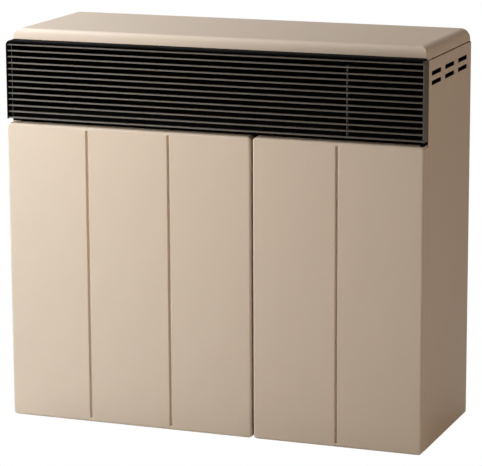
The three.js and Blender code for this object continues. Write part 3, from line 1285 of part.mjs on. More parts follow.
piece('sight_glass', sightGlass(), 'glass');
piece('sight_frame', sightFrame(), 'zincSteel');

piece('control_panel', controlPanel(), 'blackEnamel');
piece('gas_valve', gasValve(), 'castAlloy');
piece('valve_bracket', valveBracket(), 'zincSteel');
piece('valve_plunger', valvePlunger(), 'plainSteel');
piece('valve_spindle', valveSpindle(), 'plainSteel');
piece('control_knob', controlKnob(), 'blackPlastic');
piece('igniter_body', igniterBody(), 'blackPlastic');
piece('igniter_button', igniterButton(), 'redPlastic');

piece('gas_inlet_pipe', inletPipe(), 'copper');
piece('union_nut', unionNut(), 'brass');
piece('burner_feed_pipe', feedPipe(), 'aluminised');
const connectionZ = VALVE_Z + PILOT_BOSS_RISE;
const pilotStart = [VALVE_LEFT - SEAT_GAP, VALVE_BACK - LEAD_REACH, connectionZ];
const probeStart = [VALVE_LEFT - SEAT_GAP, VALVE_BACK - 2 * LEAD_REACH, connectionZ];
const probeLevel = connectionZ + 3 * PILOT_PIPE_RADIUS;
piece('pilot_pipe', stemLead(pilot, PILOT_PIPE_RADIUS, pilotStart, connectionZ), 'aluminised');
piece('thermocouple_lead', stemLead(thermocouple, CAPILLARY_RADIUS, probeStart, probeLevel), 'copper');
piece('ignition_lead', ignitionLead(), 'redPlastic');
piece('thermostat_bulb', thermostatBulb(), 'copper');
piece('bulb_clip', bulbClip(), 'zincSteel');
piece('capillary_tube', capillary(), 'copper');

export default heater;
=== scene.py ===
"""A wall mounted gas heater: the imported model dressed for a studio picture.

Shapes are drawn in millimetres with z = 0 at the foot of the front panels and y = 0 at the wall,
and are brought into the row's frame in metres when they become pieces.
"""
import json
import math

import bmesh
import bpy
from mathutils import Matrix, Vector


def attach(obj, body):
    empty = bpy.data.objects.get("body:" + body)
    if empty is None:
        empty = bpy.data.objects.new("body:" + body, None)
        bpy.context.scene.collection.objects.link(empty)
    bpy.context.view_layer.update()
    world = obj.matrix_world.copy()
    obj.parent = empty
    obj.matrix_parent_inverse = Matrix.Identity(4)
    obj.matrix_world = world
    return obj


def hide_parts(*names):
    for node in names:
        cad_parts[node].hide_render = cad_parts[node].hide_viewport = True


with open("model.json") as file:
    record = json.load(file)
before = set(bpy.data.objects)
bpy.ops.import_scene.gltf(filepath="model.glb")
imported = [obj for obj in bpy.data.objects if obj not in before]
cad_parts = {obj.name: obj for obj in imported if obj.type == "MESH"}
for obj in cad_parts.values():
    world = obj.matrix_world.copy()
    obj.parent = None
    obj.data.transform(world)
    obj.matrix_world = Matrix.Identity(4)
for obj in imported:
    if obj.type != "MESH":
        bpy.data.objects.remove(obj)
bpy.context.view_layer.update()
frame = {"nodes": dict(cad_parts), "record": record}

scene = bpy.context.scene

MM = 0.001
FOOT = -318.5  # height of the front panels' foot in the row's frame
TO_ROW = Matrix.Scale(MM, 4) @ Matrix.Translation((0.0, 0.0, FOOT))
TURN = 2.0 * math.pi


def placed(name, data):
    """A new object in the scene."""
    made = bpy.data.objects.new(name, data)
    scene.collection.objects.link(made)
    return made


# ---- materials

def linear(code, alpha=1.0):
    """An sRGB hex colour as linear RGBA."""
    parts = [int(code[i:i + 2], 16) / 255.0 for i in (1, 3, 5)]
    return tuple(
        p / 12.92 if p <= 0.04045 else ((p + 0.055) / 1.055) ** 2.4 for p in parts
    ) + (alpha,)


def shade(colour, factor):
    """A linear colour made lighter or darker."""
    return tuple(min(1.0, c * factor) for c in colour[:3]) + (1.0,)


def add(tree, kind, inputs=None, **settings):
    """Adds a shader node. An input is a value, or an output socket to link from."""
    made = tree.nodes.new(kind)
    for key, value in settings.items():
        setattr(made, key, value)
    for key, value in (inputs or {}).items():
        if isinstance(value, bpy.types.NodeSocket):
            tree.links.new(value, made.inputs[key])
        else:
            made.inputs[key].default_value = value
    return made


def blank(name):
    """A new material with an empty tree: the material, its tree and its output node."""
    material = bpy.data.materials.new(name)
    material.use_nodes = True
    material.node_tree.nodes.clear()
    return material, material.node_tree, add(material.node_tree, "ShaderNodeOutputMaterial")


def surface(name, colour, roughness, mottle, grain, metallic=0.0, stretch=(1.0, 1.0, 1.0),
            spangle=None, rough_spread=0.06, **sockets):
    """A finish on an object's own coordinates.

    mottle is the size in mm and the strength of soft changes of tone, grain the size and the
    height in mm of the fine relief, stretch draws the grain out along an axis, and spangle is the
    size in mm and the strength of zinc crystals.
    """
    material, tree, output = blank(name)
    place = add(tree, "ShaderNodeTexCoord").outputs["Object"]
    soft = add(tree, "ShaderNodeTexNoise", {
        "Vector": place, "Scale": 1.0 / (mottle[0] * MM), "Detail": 3.0, "Roughness": 0.55})
    base = linear(colour)
    tone = add(tree, "ShaderNodeMix", {
        0: soft.outputs["Fac"], 6: shade(base, 1.0 - mottle[1]), 7: shade(base, 1.0 + mottle[1])},
        data_type="RGBA")
    tint = tone.outputs[2]
    if spangle:
        cells = add(tree, "ShaderNodeTexVoronoi", {
            "Vector": place, "Scale": 1.0 / (spangle[0] * MM), "Randomness": 1.0})
        grey = add(tree, "ShaderNodeSeparateColor", {"Color": cells.outputs["Color"]})
        tint = add(tree, "ShaderNodeMix", {0: spangle[1], 6: tint, 7: grey.outputs["Red"]},
                   data_type="RGBA", blend_type="MULTIPLY").outputs[2]
    drawn = add(tree, "ShaderNodeMapping", {"Vector": place, "Scale": stretch})
    fine = add(tree, "ShaderNodeTexNoise", {
        "Vector": drawn.outputs["Vector"], "Scale": 1.0 / (grain[0] * MM), "Detail": 2.0})
    bump = add(tree, "ShaderNodeBump", {
        "Height": fine.outputs["Fac"], "Distance": grain[1] * MM, "Strength": 1.0})
    rough = add(tree, "ShaderNodeMapRange", {
        "Value": fine.outputs["Fac"], "To Min": roughness - rough_spread,
        "To Max": roughness + rough_spread})
    shader = add(tree, "ShaderNodeBsdfPrincipled", {
        "Base Color": tint, "Roughness": rough.outputs["Result"], "Metallic": metallic,
        "Normal": bump.outputs["Normal"], **{k.replace("_", " "): v for k, v in sockets.items()}})
    tree.links.new(shader.outputs["BSDF"], output.inputs["Surface"])
    return material


FINISHES = {
    # Beige stoving paint, sprayed on zinc phosphated sheet steel: satin, with a fine orange peel.
    "casing_paint": surface("beige_stoved_paint", "#c7b49f", 0.5, (180.0, 0.015), (0.8, 0.006)),
    # Black heat resisting enamel, sprayed and stoved on sheet steel: matt.
    "black_enamel": surface("black_stoved_enamel", "#040303", 0.7, (90.0, 0.1), (0.6, 0.008),
                            Specular_IOR_Level=0.04),
    # The back plate's zinc, darkened a little greyer than black: painted shade behind the grille.
    "plate_painted_shade": surface("zinc_under_painted_shade", "#2b2928", 0.55, (50.0, 0.12), (0.9, 0.01),
                           spangle=(11.0, 0.25)),
    # Dark grey brown enamel on the rolled steel bars of the grille, lighter than the hood's black:
    # partly the bars' own colour, partly painted highlight on their beads.
    "grille_enamel": surface("bar_enamel_painted_highlight", "#5b534a", 0.42, (70.0, 0.06), (0.7, 0.006)),
    # Hot dip galvanised sheet, with the crystals of the zinc showing.
    "zinc_steel": surface("galvanised_sheet", "#a9adad", 0.42, (40.0, 0.06), (1.2, 0.008), 0.85,
                          spangle=(9.0, 0.35)),
    # Bright drawn steel, turned and left oiled.
    "plain_steel": surface("drawn_steel", "#a6a8a8", 0.32, (12.0, 0.05), (0.25, 0.004), 0.95,
                           stretch=(1.0, 1.0, 0.08)),
    # Vitreous enamel, fired on pressed sheet: dark, hard and slightly uneven.
    "exchanger_enamel": surface("vitreous_enamel", "#26262a", 0.3, (35.0, 0.14), (3.0, 0.03),
                                Coat_Weight=0.3),
    # Aluminised sheet and tube, rolled, dull silver.
    "aluminised_steel": surface("aluminised_steel", "#a2a29d", 0.45, (25.0, 0.08), (0.5, 0.006),
                                0.85, stretch=(1.0, 0.1, 1.0)),
    # Pressure die cast aluminium alloy with a blasted skin.
    "cast_alloy": surface("die_cast_alloy", "#a7a9ab", 0.52, (14.0, 0.08), (0.7, 0.03), 0.8),
    # Turned brass, slightly dulled.
    "brass": surface("turned_brass", "#b8904c", 0.34, (10.0, 0.08), (0.3, 0.005), 0.95),
    # Drawn copper tube with a brown bloom from heat.
    "copper": surface("drawn_copper", "#a96b4a", 0.38, (16.0, 0.16), (0.5, 0.005), 0.95),
    # Black moulded plastic with a spark eroded texture.
    "black_plastic": surface("moulded_black_plastic", "#141415", 0.45, (10.0, 0.08),
                             (0.35, 0.012)),
    # Red moulded plastic, polished mould.
    "red_plastic": surface("moulded_red_plastic", "#a8281e", 0.3, (10.0, 0.05), (0.5, 0.003)),
    # Glazed steatite ceramic.
    "ceramic": surface("glazed_ceramic", "#e9e3d4", 0.25, (6.0, 0.03), (0.6, 0.004),
                       Coat_Weight=0.5),
    # Pressed mineral fibre board, matt and felted.
    "mineral_fibre": surface("mineral_fibre", "#cdc6b6", 0.95, (5.0, 0.1), (0.5, 0.15)),
    # Ground and fire polished heat resisting glass.
    "heat_glass": surface("heat_resisting_glass", "#dfe8e4", 0.07, (20.0, 0.01), (5.0, 0.002),
                          rough_spread=0.02, Transmission_Weight=0.85, IOR=1.47),
    # Pad printed figures, matt off-white.
    "printed_ink": surface("pad_printed_ink", "#d9d6cc", 0.7, (8.0, 0.03), (0.5, 0.002)),
    # Sintered ferrite magnet, dark grey with ground faces.
    "ferrite": surface("sintered_ferrite", "#3c3d40", 0.6, (4.0, 0.1), (0.3, 0.02), 0.2),
}


# ---- shapes, in millimetres

def loop_faces(bm, rings, closed=False):
    """Joins rings of equal vertex counts with quads."""
    count = len(rings[0])
    pairs = list(zip(rings, rings[1:]))
    if closed:
        pairs.append((rings[-1], rings[0]))
    for low, high in pairs:
        for i in range(count):
            j = (i + 1) % count
            bm.faces.new((low[i], low[j], high[j], high[i]))


def around(u, v, radius, angle):
    """The point at an angle on a circle."""
    return (u + radius * math.cos(angle), v + radius * math.sin(angle))


def rounded(u0, u1, v0, v1, radius, steps=6, columns=()):
    """Points clockwise round a rectangle with rounded corners, from the lower end of its left
    side. The upper and lower edges also pass through the columns."""
    points = []
    corners = ((u0 + radius, v1 - radius, 180.0), (u1 - radius, v1 - radius, 90.0),
               (u1 - radius, v0 + radius, 0.0), (u0 + radius, v0 + radius, -90.0))
    for index, (u, v, start) in enumerate(corners):
        for step in range(steps + 1):
            points.append(around(u, v, radius, math.radians(start - 90.0 * step / steps)))
        if index == 0:
            points += [(column, v1) for column in columns]
        if index == 2:
            points += [(column, v0) for column in reversed(columns)]
    return points


def pressing(span, depth, corner, fold, sheet, place, relief=None, columns=(), rows=()):
    """A pressed sheet steel tray. span is (u0, u1, v0, v1) of its outline, place(u, v, w) puts a
    point at depth w behind the face, and relief(u, v) is how far the face is pressed in there."""
    bm = bmesh.new()
    u0, u1, v0, v1 = span
    steps, least = 6, 0.6  # points round a corner, and its smallest radius
    relief = relief or (lambda u, v: 0.0)

    def lay(inset, deep, offset):
        """A ring of points inside the outline, at a depth behind one side of the sheet."""
        radius = max(corner - inset, least)
        ring = rounded(u0 + inset, u1 - inset, v0 + inset, v1 - inset, radius, steps, columns)
        made = []
        for u, v in ring:
            pressed = relief(u, v)
            w = deep
            if pressed > 0.0:
                w = offset + (max(deep - offset, 0.0) ** 3 + pressed ** 3) ** (1 / 3)
            elif deep - offset < 1e-6:
                w = deep + pressed
            made.append(bm.verts.new(place(u, v, w)))
        return made

    def face(ring, deep):
        """Fills a ring, through the grid of columns and rows where the relief needs one."""
        arc = steps + 1
        count = len(columns)
        if not count:
            bm.faces.new(ring)
            return
        grid = []
        for j, u in enumerate(columns):
            inner = [bm.verts.new(place(u, v, deep + relief(u, v))) for v in rows]
            grid.append([ring[arc + j]] + inner + [ring[3 * arc + 2 * count - 1 - j]])
        for left, right in zip(grid, grid[1:]):
            for k in range(len(left) - 1):
                bm.faces.new((left[k], right[k], right[k + 1], left[k + 1]))
        bm.faces.new(ring[:arc] + grid[0] + ring[3 * arc + 2 * count:])
        bm.faces.new(grid[-1][::-1] + ring[arc + count:3 * arc + count])

    turns = [math.radians(15.0 * i) for i in range(7)]

    def skin(inset, bend):
        """One side of the sheet, as rings from its rim to its face."""
        rings = [lay(inset, depth, inset)]
        rings += [lay(inset + bend * (1 - math.cos(a)), inset + bend * (1 - math.sin(a)), inset)
                  for a in turns]
        face(rings[-1], inset)
        return rings

    loop_faces(bm, skin(0.0, fold)[::-1] + skin(sheet, max(fold - sheet, 0.3)))
    return bm


def upright(u, v, w):
    """A point of an outline in x and y, at the height w."""
    return (u, v, w)


def facing(u, v, w):
    """A point of an outline in x and z, at the depth w."""
    return (u, w, v)


def across(u, v, w):
    """A point of an outline in y and z, at w along x."""
    return (w, u, v)


def prism(points, place, low, high):
    """A closed extrusion of an outline from one level to another; place(u, v, w)."""
    bm = bmesh.new()
    rings = [[bm.verts.new(place(u, v, w)) for u, v in points] for w in (low, high)]
    loop_faces(bm, rings)
    bm.faces.new(rings[0])
    bm.faces.new(rings[1][::-1])
    return bm


def box(x0, x1, y0, y1, z0, z1):
    """A closed block between two corners."""
    return prism([(x0, y0), (x1, y0), (x1, y1), (x0, y1)], upright, z0, z1)


def disc(x, y, radius, sides=24):
    """The outline of a circle or a polygon."""
    return [around(x, y, radius, TURN * i / sides) for i in range(sides)]


AXIS_TURNS = {
    "x": lambda r, a, h: (h, r * math.cos(a), r * math.sin(a)),
    "y": lambda r, a, h: (r * math.cos(a), h, r * math.sin(a)),
    "z": lambda r, a, h: (r * math.cos(a), r * math.sin(a), h),
}


def lathe(profile, axis="z", centre=(0.0, 0.0, 0.0), sides=40, hollow=False):
    """Turns a profile of (radius, height) points round an axis through a centre. A solid profile
    starts and ends on the axis or is closed with flat ends; a hollow one closes on itself."""
    bm = bmesh.new()
    turn = AXIS_TURNS[axis]
    rings = []
    for radius, height in profile:
        ring = []
        for i in range(sides):
            x, y, z = turn(max(radius, 0.01), TURN * i / sides, height)
            ring.append(bm.verts.new((x + centre[0], y + centre[1], z + centre[2])))
        rings.append(ring)
    loop_faces(bm, rings, closed=hollow)
    if not hollow:
        bm.faces.new(rings[0])
        bm.faces.new(rings[-1][::-1])
    return bm


def pipe(points, radius, sides=18):
    """A round tube along a path, with closed ends."""
    bm = bmesh.new()
    points = [Vector(p) for p in points]
    side = Vector((0.0, 0.0, 1.0))
    if abs((points[1] - points[0]).normalized().dot(side)) > 0.9:
        side = Vector((0.0, 1.0, 0.0))
    rings = []
    for i, point in enumerate(points):
        ahead = points[min(i + 1, len(points) - 1)] - points[max(i - 1, 0)]
        ahead.normalize()
        side = (side - ahead * side.dot(ahead)).normalized()
        other = ahead.cross(side)
        rings.append([bm.verts.new(point + radius * (
            side * math.cos(TURN * k / sides) + other * math.sin(TURN * k / sides)))
            for k in range(sides)])
    loop_faces(bm, rings)
    bm.faces.new(rings[0])
    bm.faces.new(rings[-1][::-1])
    return bm


def soften(bm, width, segments=2, limit=32.0):
    """Rounds every edge whose faces turn by more than the limit."""
    bmesh.ops.recalc_face_normals(bm, faces=bm.faces[:])
    sharp = [e for e in bm.edges
             if len(e.link_faces) == 2 and e.calc_face_angle(0.0) > math.radians(limit)]
    bmesh.ops.bevel(bm, geom=sharp, offset=width, segments=segments, profile=0.5,
                    affect="EDGES", clamp_overlap=True)
    return bm


def divide(bm, normal, level):
    """Cuts a shape's faces along a plane, without parting it."""
    bmesh.ops.bisect_plane(bm, geom=bm.verts[:] + bm.edges[:] + bm.faces[:],
                           plane_co=Vector(normal) * level, plane_no=normal)
    return bm


def mesh_of(bm, name):
    """A mesh of a shape, with its faces turned outwards. The shape is used up."""
    bmesh.ops.recalc_face_normals(bm, faces=bm.faces[:])
    mesh = bpy.data.meshes.new(name)
    bm.to_mesh(mesh)
    bm.free()
    return mesh


def merge(bm, *parts):
    """Adds other shapes to a shape."""
    for part in parts:
        spare = mesh_of(part, "part")
        bm.from_mesh(spare)
        bpy.data.meshes.remove(spare)
    return bm


def shape_of(thing):
    """An object's shape once its modifiers are applied."""
    bpy.context.view_layer.update()
    done = thing.evaluated_get(bpy.context.evaluated_depsgraph_get())
    bm = bmesh.new()
    bm.from_mesh(done.to_mesh())
    done.to_mesh_clear()
    return bm


def carve(bm, *cutters):
    """Takes the cutters' shapes out of a shape and returns the rest."""
    body = placed("carved", mesh_of(bm, "carved"))
    tools = []
    for index, cutter in enumerate(cutters):
        tool = placed("tool", mesh_of(cutter, "tool"))
        step = body.modifiers.new(f"cut_{index}", "BOOLEAN")
        step.operation = "DIFFERENCE"
        step.solver = "EXACT"
        step.object = tool
        tools.append(tool)
    rest = shape_of(body)
    for spare in [body] + tools:
        mesh = spare.data
        bpy.data.objects.remove(spare)
        bpy.data.meshes.remove(mesh)
    bmesh.ops.remove_doubles(rest, verts=rest.verts[:], dist=0.001)
    return rest


def put(name, bm, slot, body="root", crease=35.0, finish=None, patch=None, added=False):
    """Makes a shape a piece of the heater: its finish, its body and, unless it's added, the node
    of its own name that it stands for. patch is a second finish and a test of its faces."""
    if patch:
        bm.normal_update()
        for face in bm.faces:
            face.material_index = int(patch[1](face.calc_center_median(), face.normal))
    bm.transform(TO_ROW)
    mesh = mesh_of(bm, name)
    mesh.materials.append(FINISHES[finish or slot])
    if patch:
        mesh.materials.append(FINISHES[patch[0]])
    mesh.shade_smooth()
    mesh.set_sharp_from_angle(angle=math.radians(crease))
    piece = placed(name, mesh)
    weight = piece.modifiers.new("even_faces", "WEIGHTED_NORMAL")
    weight.keep_sharp = True
    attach(piece, body)
    if not added:
        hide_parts(name)


# ---- casing

HALF_WIDTH = 350.0
CASING_FRONT = -235.0
FACADE = -256.0
PANEL_TOP = 487.0
SHEET = 1.2
PAST = 400.0  # half width of a cutter that passes the whole heater
SIDE_FOOT, SIDE_TOP = 1.5, 617.3
SIDE_DEPTH, SIDE_CORNER, SIDE_FOLD = 14.0, 1.0, 2.6
SLOT_LENGTH, SLOT_HEIGHT, SLOT_CORNER = 52.0, 7.3, 1.5
SLOT_PITCH, SLOT_ROW = 72.5, 14.8
FIRST_SLOT, TOP_SLOT_DROP = 23.5, 22.2  # from the wall, and from the side panel's top
NOTCH_LEFT, NOTCH_RIGHT = 339.7, 347.5
HINGE_NOTCHES = ((487.0, 489.4), (0.0, 3.0))  # where the bracket arms pass the right flange


def side_panel(side, name):
    """A folded side sheet with two rows of three cooling slots."""
    span = (CASING_FRONT, 20.0, SIDE_FOOT, SIDE_TOP)
    bm = pressing(span, SIDE_DEPTH, SIDE_CORNER, SIDE_FOLD, SHEET,
                  lambda u, v, w: (side * (HALF_WIDTH - w), u, v))
    tools = [box(-PAST, PAST, 0.0, 30.0, -5, 640)]
    for row in range(2):
        for column in range(3):
            back = -FIRST_SLOT - column * SLOT_PITCH
            z = SIDE_TOP - TOP_SLOT_DROP - row * SLOT_ROW
            outline = rounded(back - SLOT_LENGTH, back, z - SLOT_HEIGHT / 2,
                              z + SLOT_HEIGHT / 2, SLOT_CORNER)
            tools.append(prism(outline, lambda u, v, w: (side * w, u, v),
                               HALF_WIDTH - 4, HALF_WIDTH + 4))
    if side > 0:
        for low, high in HINGE_NOTCHES:
            tools.append(box(NOTCH_LEFT, NOTCH_RIGHT, CASING_FRONT - 2, -231.4, low, high))
    bm = divide(soften(carve(bm, *tools), 0.28, 2), (0.0, 0.0, 1.0), PANEL_TOP + 0.5)

    def blackened(at, way):
        """Faces painted black as shade: inside the casing, and on the front fold behind the hood's
        open end.
        """
        inside = abs(at.x) < HALF_WIDTH - 0.9 and (at.z > PANEL_TOP or way.y > -0.8)
        return inside or (side < 0 and at.z > PANEL_TOP and way.y < -0.1)

    put(name, bm, "casing_paint", patch=("black_enamel", blackened))


side_panel(-1, "side_panel_left")
side_panel(1, "side_panel_right")

LID_FOOT, LID_TOP, LID_HALF = 617.6, 637.0, 348.5
LID_CORNER, LID_FOLD = 4.0, 16.0
WALL_GAP = 0.3
lid = pressing((-LID_HALF, LID_HALF, CASING_FRONT, 30.0), LID_TOP - LID_FOOT, LID_CORNER,
               LID_FOLD, SHEET, lambda u, v, w: (u, v, LID_TOP - w))
lid = carve(lid, box(-PAST, PAST, -WALL_GAP, 60.0, 600, 650))
put("top_cover", soften(lid, 0.3, 2), "casing_paint")


# ---- front panels

PANEL_CORNER, PANEL_FOLD = 6.0, 4.0
PANEL_END, DOOR_START = 68.6, 71.4  # either side of the gap between them
PANEL_BACK, DOOR_BACK = -235.3, -235.796
INNER_FLUTE, OUTER_FLUTE = 70.0, 210.0  # the grooves' distances from the middle
GROOVE_HALF, GROOVE_FLOOR, GROOVE_DEPTH = 2.5, 0.6, 3.8
GROOVE_BLUR = 0.6  # either way, so that the shoulders are round
GROOVE_END = 4.6  # from an edge of the panel to where a groove starts
GROOVE_STEPS = (3.6, 3.1, 2.8, 2.5, 2.1, 1.6, 1.1, 0.6, 0.25)
END_STEPS = (0.0, 0.4, 0.9, 1.5, 2.1, 2.6, 3.0)


def groove(distance):
    """Depth of a pressed groove at a distance from its middle, with rounded shoulders."""
    total = 0.0
    for i in range(-4, 5):
        t = abs(distance + GROOVE_BLUR * i / 4)
        total += max(0.0, min(1.0, (GROOVE_HALF - t) / (GROOVE_HALF - GROOVE_FLOOR)))
    return GROOVE_DEPTH * total / 9


def fluted(x0, x1, back, lines):
    """A front panel with grooves pressed from near its top to near its foot."""
    columns = []
    for line in lines:
        columns += [line - step for step in GROOVE_STEPS] + [line]
        columns += [line + step for step in reversed(GROOVE_STEPS)]
    ends = [GROOVE_END + step for step in END_STEPS]

    def relief(u, v):
        """The grooves, running out before the panel's top and foot."""
        run = max(0.0, min(1.0, (min(v, PANEL_TOP - v) - ends[0]) / (ends[-1] - ends[0])))
        return groove(min(abs(u - line) for line in lines)) * run * run * (3.0 - 2.0 * run)

    return pressing((x0, x1, 0.0, PANEL_TOP), back - FACADE, PANEL_CORNER, PANEL_FOLD, SHEET,
                    lambda u, v, w: (u, FACADE + w, v), relief, columns,
                    [PANEL_TOP - end for end in ends] + ends[::-1])


put("front_panel", fluted(-HALF_WIDTH, PANEL_END, PANEL_BACK, [-OUTER_FLUTE, -INNER_FLUTE]),
    "casing_paint")

PIN_X, PIN_Y, PIN_HOLE = 346.0, -251.5, 1.5
DOOR_FOOT_PLATE = 2.6  # height of the plate that the lower pin passes

door = fluted(DOOR_START, HALF_WIDTH, DOOR_BACK, [OUTER_FLUTE])
door = carve(
    door,
    box(NOTCH_LEFT, 351.0, -254.1, -230.0, -1.0, DOOR_FOOT_PLATE),
    prism(disc(PIN_X, PIN_Y, PIN_HOLE), upright, 480.0, 490.0),
)
plate = merge(box(325.7, 349.0, -255.0, DOOR_BACK - SHEET, DOOR_FOOT_PLATE,
                  DOOR_FOOT_PLATE + SHEET),
              box(NOTCH_LEFT - SHEET, NOTCH_LEFT, -255.0, DOOR_BACK - SHEET, 0.8, 2.7))
merge(door, carve(plate, prism(disc(PIN_X, PIN_Y, PIN_HOLE), upright, 0.0, 6.0)))
put("control_door", door, "casing_paint", "door")


# ---- grille

HOOD_FOOT, HOOD_TOP = 493.5, 620.5
HOOD_BORDER = 3.0
HOOD_DEPTH, HOOD_CORNER, HOOD_FOLD = 20.7, 8.0, 2.4
HOOD_SIDE = HALF_WIDTH - HOOD_BORDER - 0.4
BAR_FRONT = FACADE + SHEET + 0.3
BAR_HALF, BAR_DEPTH = 347.9, 8.0
BAR_NOSE, BAR_SHEET = 1.3, 0.8  # radius of the rolled bead, and half the sheet behind it
BEAD_OPENS = 38.0  # degrees from the bar's middle plane
BAR_COUNT = 13
TOP_BAR_DROP, LOW_BAR_RISE = 7.0, 2.0
BAR_PITCH = (HOOD_TOP - HOOD_FOOT - TOP_BAR_DROP - LOW_BAR_RISE) / (BAR_COUNT - 1)


def bar_height(index):
    """Height of a bar's middle, counted down from the top bar."""
    return HOOD_TOP - TOP_BAR_DROP - BAR_PITCH * index


hood = pressing((-HALF_WIDTH, HALF_WIDTH, HOOD_FOOT - 16, HOOD_TOP), HOOD_DEPTH, HOOD_CORNER,
                HOOD_FOLD, SHEET, lambda u, v, w: (u, FACADE + w, v))
opening = rounded(-HALF_WIDTH + HOOD_BORDER, HALF_WIDTH - HOOD_BORDER, 440.0,
                  HOOD_TOP - HOOD_BORDER, 6.0, 10)
hood = carve(hood, prism(opening, facing, FACADE - 2, FACADE + 4.5),
             box(-PAST, PAST, -260, -230, 430, HOOD_FOOT))
# The hood is split at HOOD_SIDE so that its right end, except its top face, takes the lighter
# grille enamel: a painted highlight where the lamps light that end; the rest stays black.
hood = divide(soften(hood, 0.35, 2), (1.0, 0.0, 0.0), HOOD_SIDE)
put("grille_hood", hood, "black_enamel",
    patch=("grille_enamel", lambda at, way: at.x > HOOD_SIDE and way.z < 0.7))

blade = [(BAR_FRONT + BAR_DEPTH, -BAR_SHEET), (BAR_FRONT + BAR_DEPTH, BAR_SHEET)]
for step in range(17):
    angle = math.radians(BEAD_OPENS + (360.0 - 2 * BEAD_OPENS) * step / 16)
    blade.append(around(BAR_FRONT + BAR_NOSE, 0.0, BAR_NOSE, angle))
# The bars and their stay take the lighter grille enamel: partly their own colour, partly painted
# highlight.
for index in range(BAR_COUNT):
    z = bar_height(index)
    bar = prism(blade, lambda u, v, w: (w, u, v + z), -BAR_HALF, BAR_HALF)
    put(f"grille_bar_{index + 1:02d}", soften(bar, 0.2, 1, 50.0), "grille_enamel")

STAY_X, STAY_HALF = 224.0, 0.8
STAY_NOTCH = 1.1  # half the height of the notch that a bar's sheet sits in
stay = box(STAY_X - STAY_HALF, STAY_X + STAY_HALF, BAR_FRONT + 5.0, BAR_FRONT + 14.0,
           bar_height(BAR_COUNT - 1) - 1.6, bar_height(1) + 2.6)
stay = carve(stay, *[box(STAY_X - 4, STAY_X + 4, BAR_FRONT, BAR_FRONT + 8.3,
                         bar_height(i) - STAY_NOTCH, bar_height(i) + STAY_NOTCH)
                     for i in range(1, BAR_COUNT)])
put("grille_stay", soften(stay, 0.3), "grille_enamel")


CHANNEL_LEFT, CHANNEL_FRONT, CHANNEL_BACK = -346.2, -233.5, -217.5


def channel(name, foot, top, slot):
    """A folded channel across the front of the casing, open to the wall."""
    bm = carve(box(CHANNEL_LEFT, NOTCH_LEFT, CHANNEL_FRONT, CHANNEL_BACK, foot, top),
               box(-HALF_WIDTH, 345, CHANNEL_FRONT + SHEET, -210, foot + SHEET, top - SHEET))
    put(name, soften(bm, 0.5, 3), slot)


channel("front_crossbar", 470.0, 512.0, "black_enamel")
channel("bottom_rail", 3.0, 37.0, "zinc_steel")


# ---- nodes that stay as they are

for row in frame["record"]["subparts"]:
    node = frame["nodes"][row["node"]]
    for place in node.material_slots:
        place.link = "OBJECT"
        # The back plate takes a dark grey in place of its zinc: painted shade behind the grille.
        place.material = FINISHES[
            "plate_painted_shade" if row["node"] == "back_plate" else row["material_slot"]]


# ---- hinge, catch and screws

def screw(bm, x, y, z, radius, axis="y", sign=-1.0):
    """Adds a pan head with a cross slot, its face turned along y or z."""
    head = [(0.0, 0.0), (radius, 0.0), (radius, 0.25 * radius), (0.82 * radius, 0.55 * radius),
            (0.45 * radius, 0.7 * radius), (0.0, 0.72 * radius)]
    part = lathe([(r, sign * h) for r, h in head], axis, (x, y, z), 24)
    arm, half, deep = 0.55 * radius, 0.12 * radius, sign * 0.5 * radius
    low, high = sorted((deep, sign * radius))
    tools = []
    for a, b in ((arm, half), (half, arm)):
        if axis == "y":
            tools.append(box(x - a, x + a, y + low, y + high, z - b, z + b))
        else:
            tools.append(box(x - a, x + a, y - b, y + b, z + low, z + high))
    merge(bm, carve(part, *tools))


def turned(name, profile, slot, axis, centre, body="root", sides=48, hollow=False, crease=35.0):
    """A turned piece that stands for the node of its own name."""
    put(name, lathe(profile, axis, centre, sides, hollow), slot, body, crease)


def bar_profile(radius, low, high, chamfer=0.3):
    """Half the section of a turned bar."""
    return [(0.0, low), (radius - chamfer, low), (radius, low + chamfer),
            (radius, high - chamfer), (radius - chamfer, high), (0.0, high)]


def ring_profile(outer, inner, low, high, chamfer=0.3):
    """The section of a turned ring."""
    return [(inner + chamfer, low), (outer - chamfer, low), (outer, low + chamfer),
            (outer, high - chamfer), (outer - chamfer, high), (inner + chamfer, high),
            (inner, high - chamfer), (inner, low + chamfer)]


PIN_RADIUS, PIN_LENGTH = 1.2, 6.8
for name, foot in (("hinge_pin_upper", 482.3), ("hinge_pin_lower", 0.5)):
    turned(name, bar_profile(PIN_RADIUS, foot, foot + PIN_LENGTH, 0.25), "plain_steel", "z",
           (PIN_X, PIN_Y, 0.0), sides=24)

HINGE_LEFT, HINGE_RIGHT = 340.0, 347.2
LEAF_BACK = -231.7
EYE_RADIUS, ARM_THICK, LEAF_HEIGHT = 2.3, 1.8, 24.0


def hinge_bracket(name, foot, slot):
    """A folded bracket: an arm with a rounded eye, and a leaf behind the casing's flange."""
    eye = [(PIN_X + EYE_RADIUS * math.sin(math.radians(a)),
            PIN_Y - EYE_RADIUS * math.cos(math.radians(a))) for a in range(-75, 31, 7)]
    outline = [(HINGE_LEFT, LEAF_BACK), (HINGE_LEFT, -246.0)] + eye + [(HINGE_RIGHT, LEAF_BACK)]
    arm = prism(outline, upright, foot, foot + ARM_THICK)
    arm = carve(arm, prism(disc(PIN_X, PIN_Y, 1.35), upright, foot - 1, foot + 3))
    leaf = box(HINGE_LEFT, HINGE_RIGHT, LEAF_BACK - ARM_THICK, LEAF_BACK, foot,
               foot + LEAF_HEIGHT)
    bm = soften(merge(arm, leaf), 0.25)
    for z in (foot + 9.0, foot + 18.0):
        screw(bm, (HINGE_LEFT + HINGE_RIGHT) / 2, LEAF_BACK, z, 2.0, "y", 1.0)
    put(name, bm, slot)


hinge_bracket("hinge_bracket_upper", 487.3, "black_enamel")
hinge_bracket("hinge_bracket_lower", 0.5, "zinc_steel")

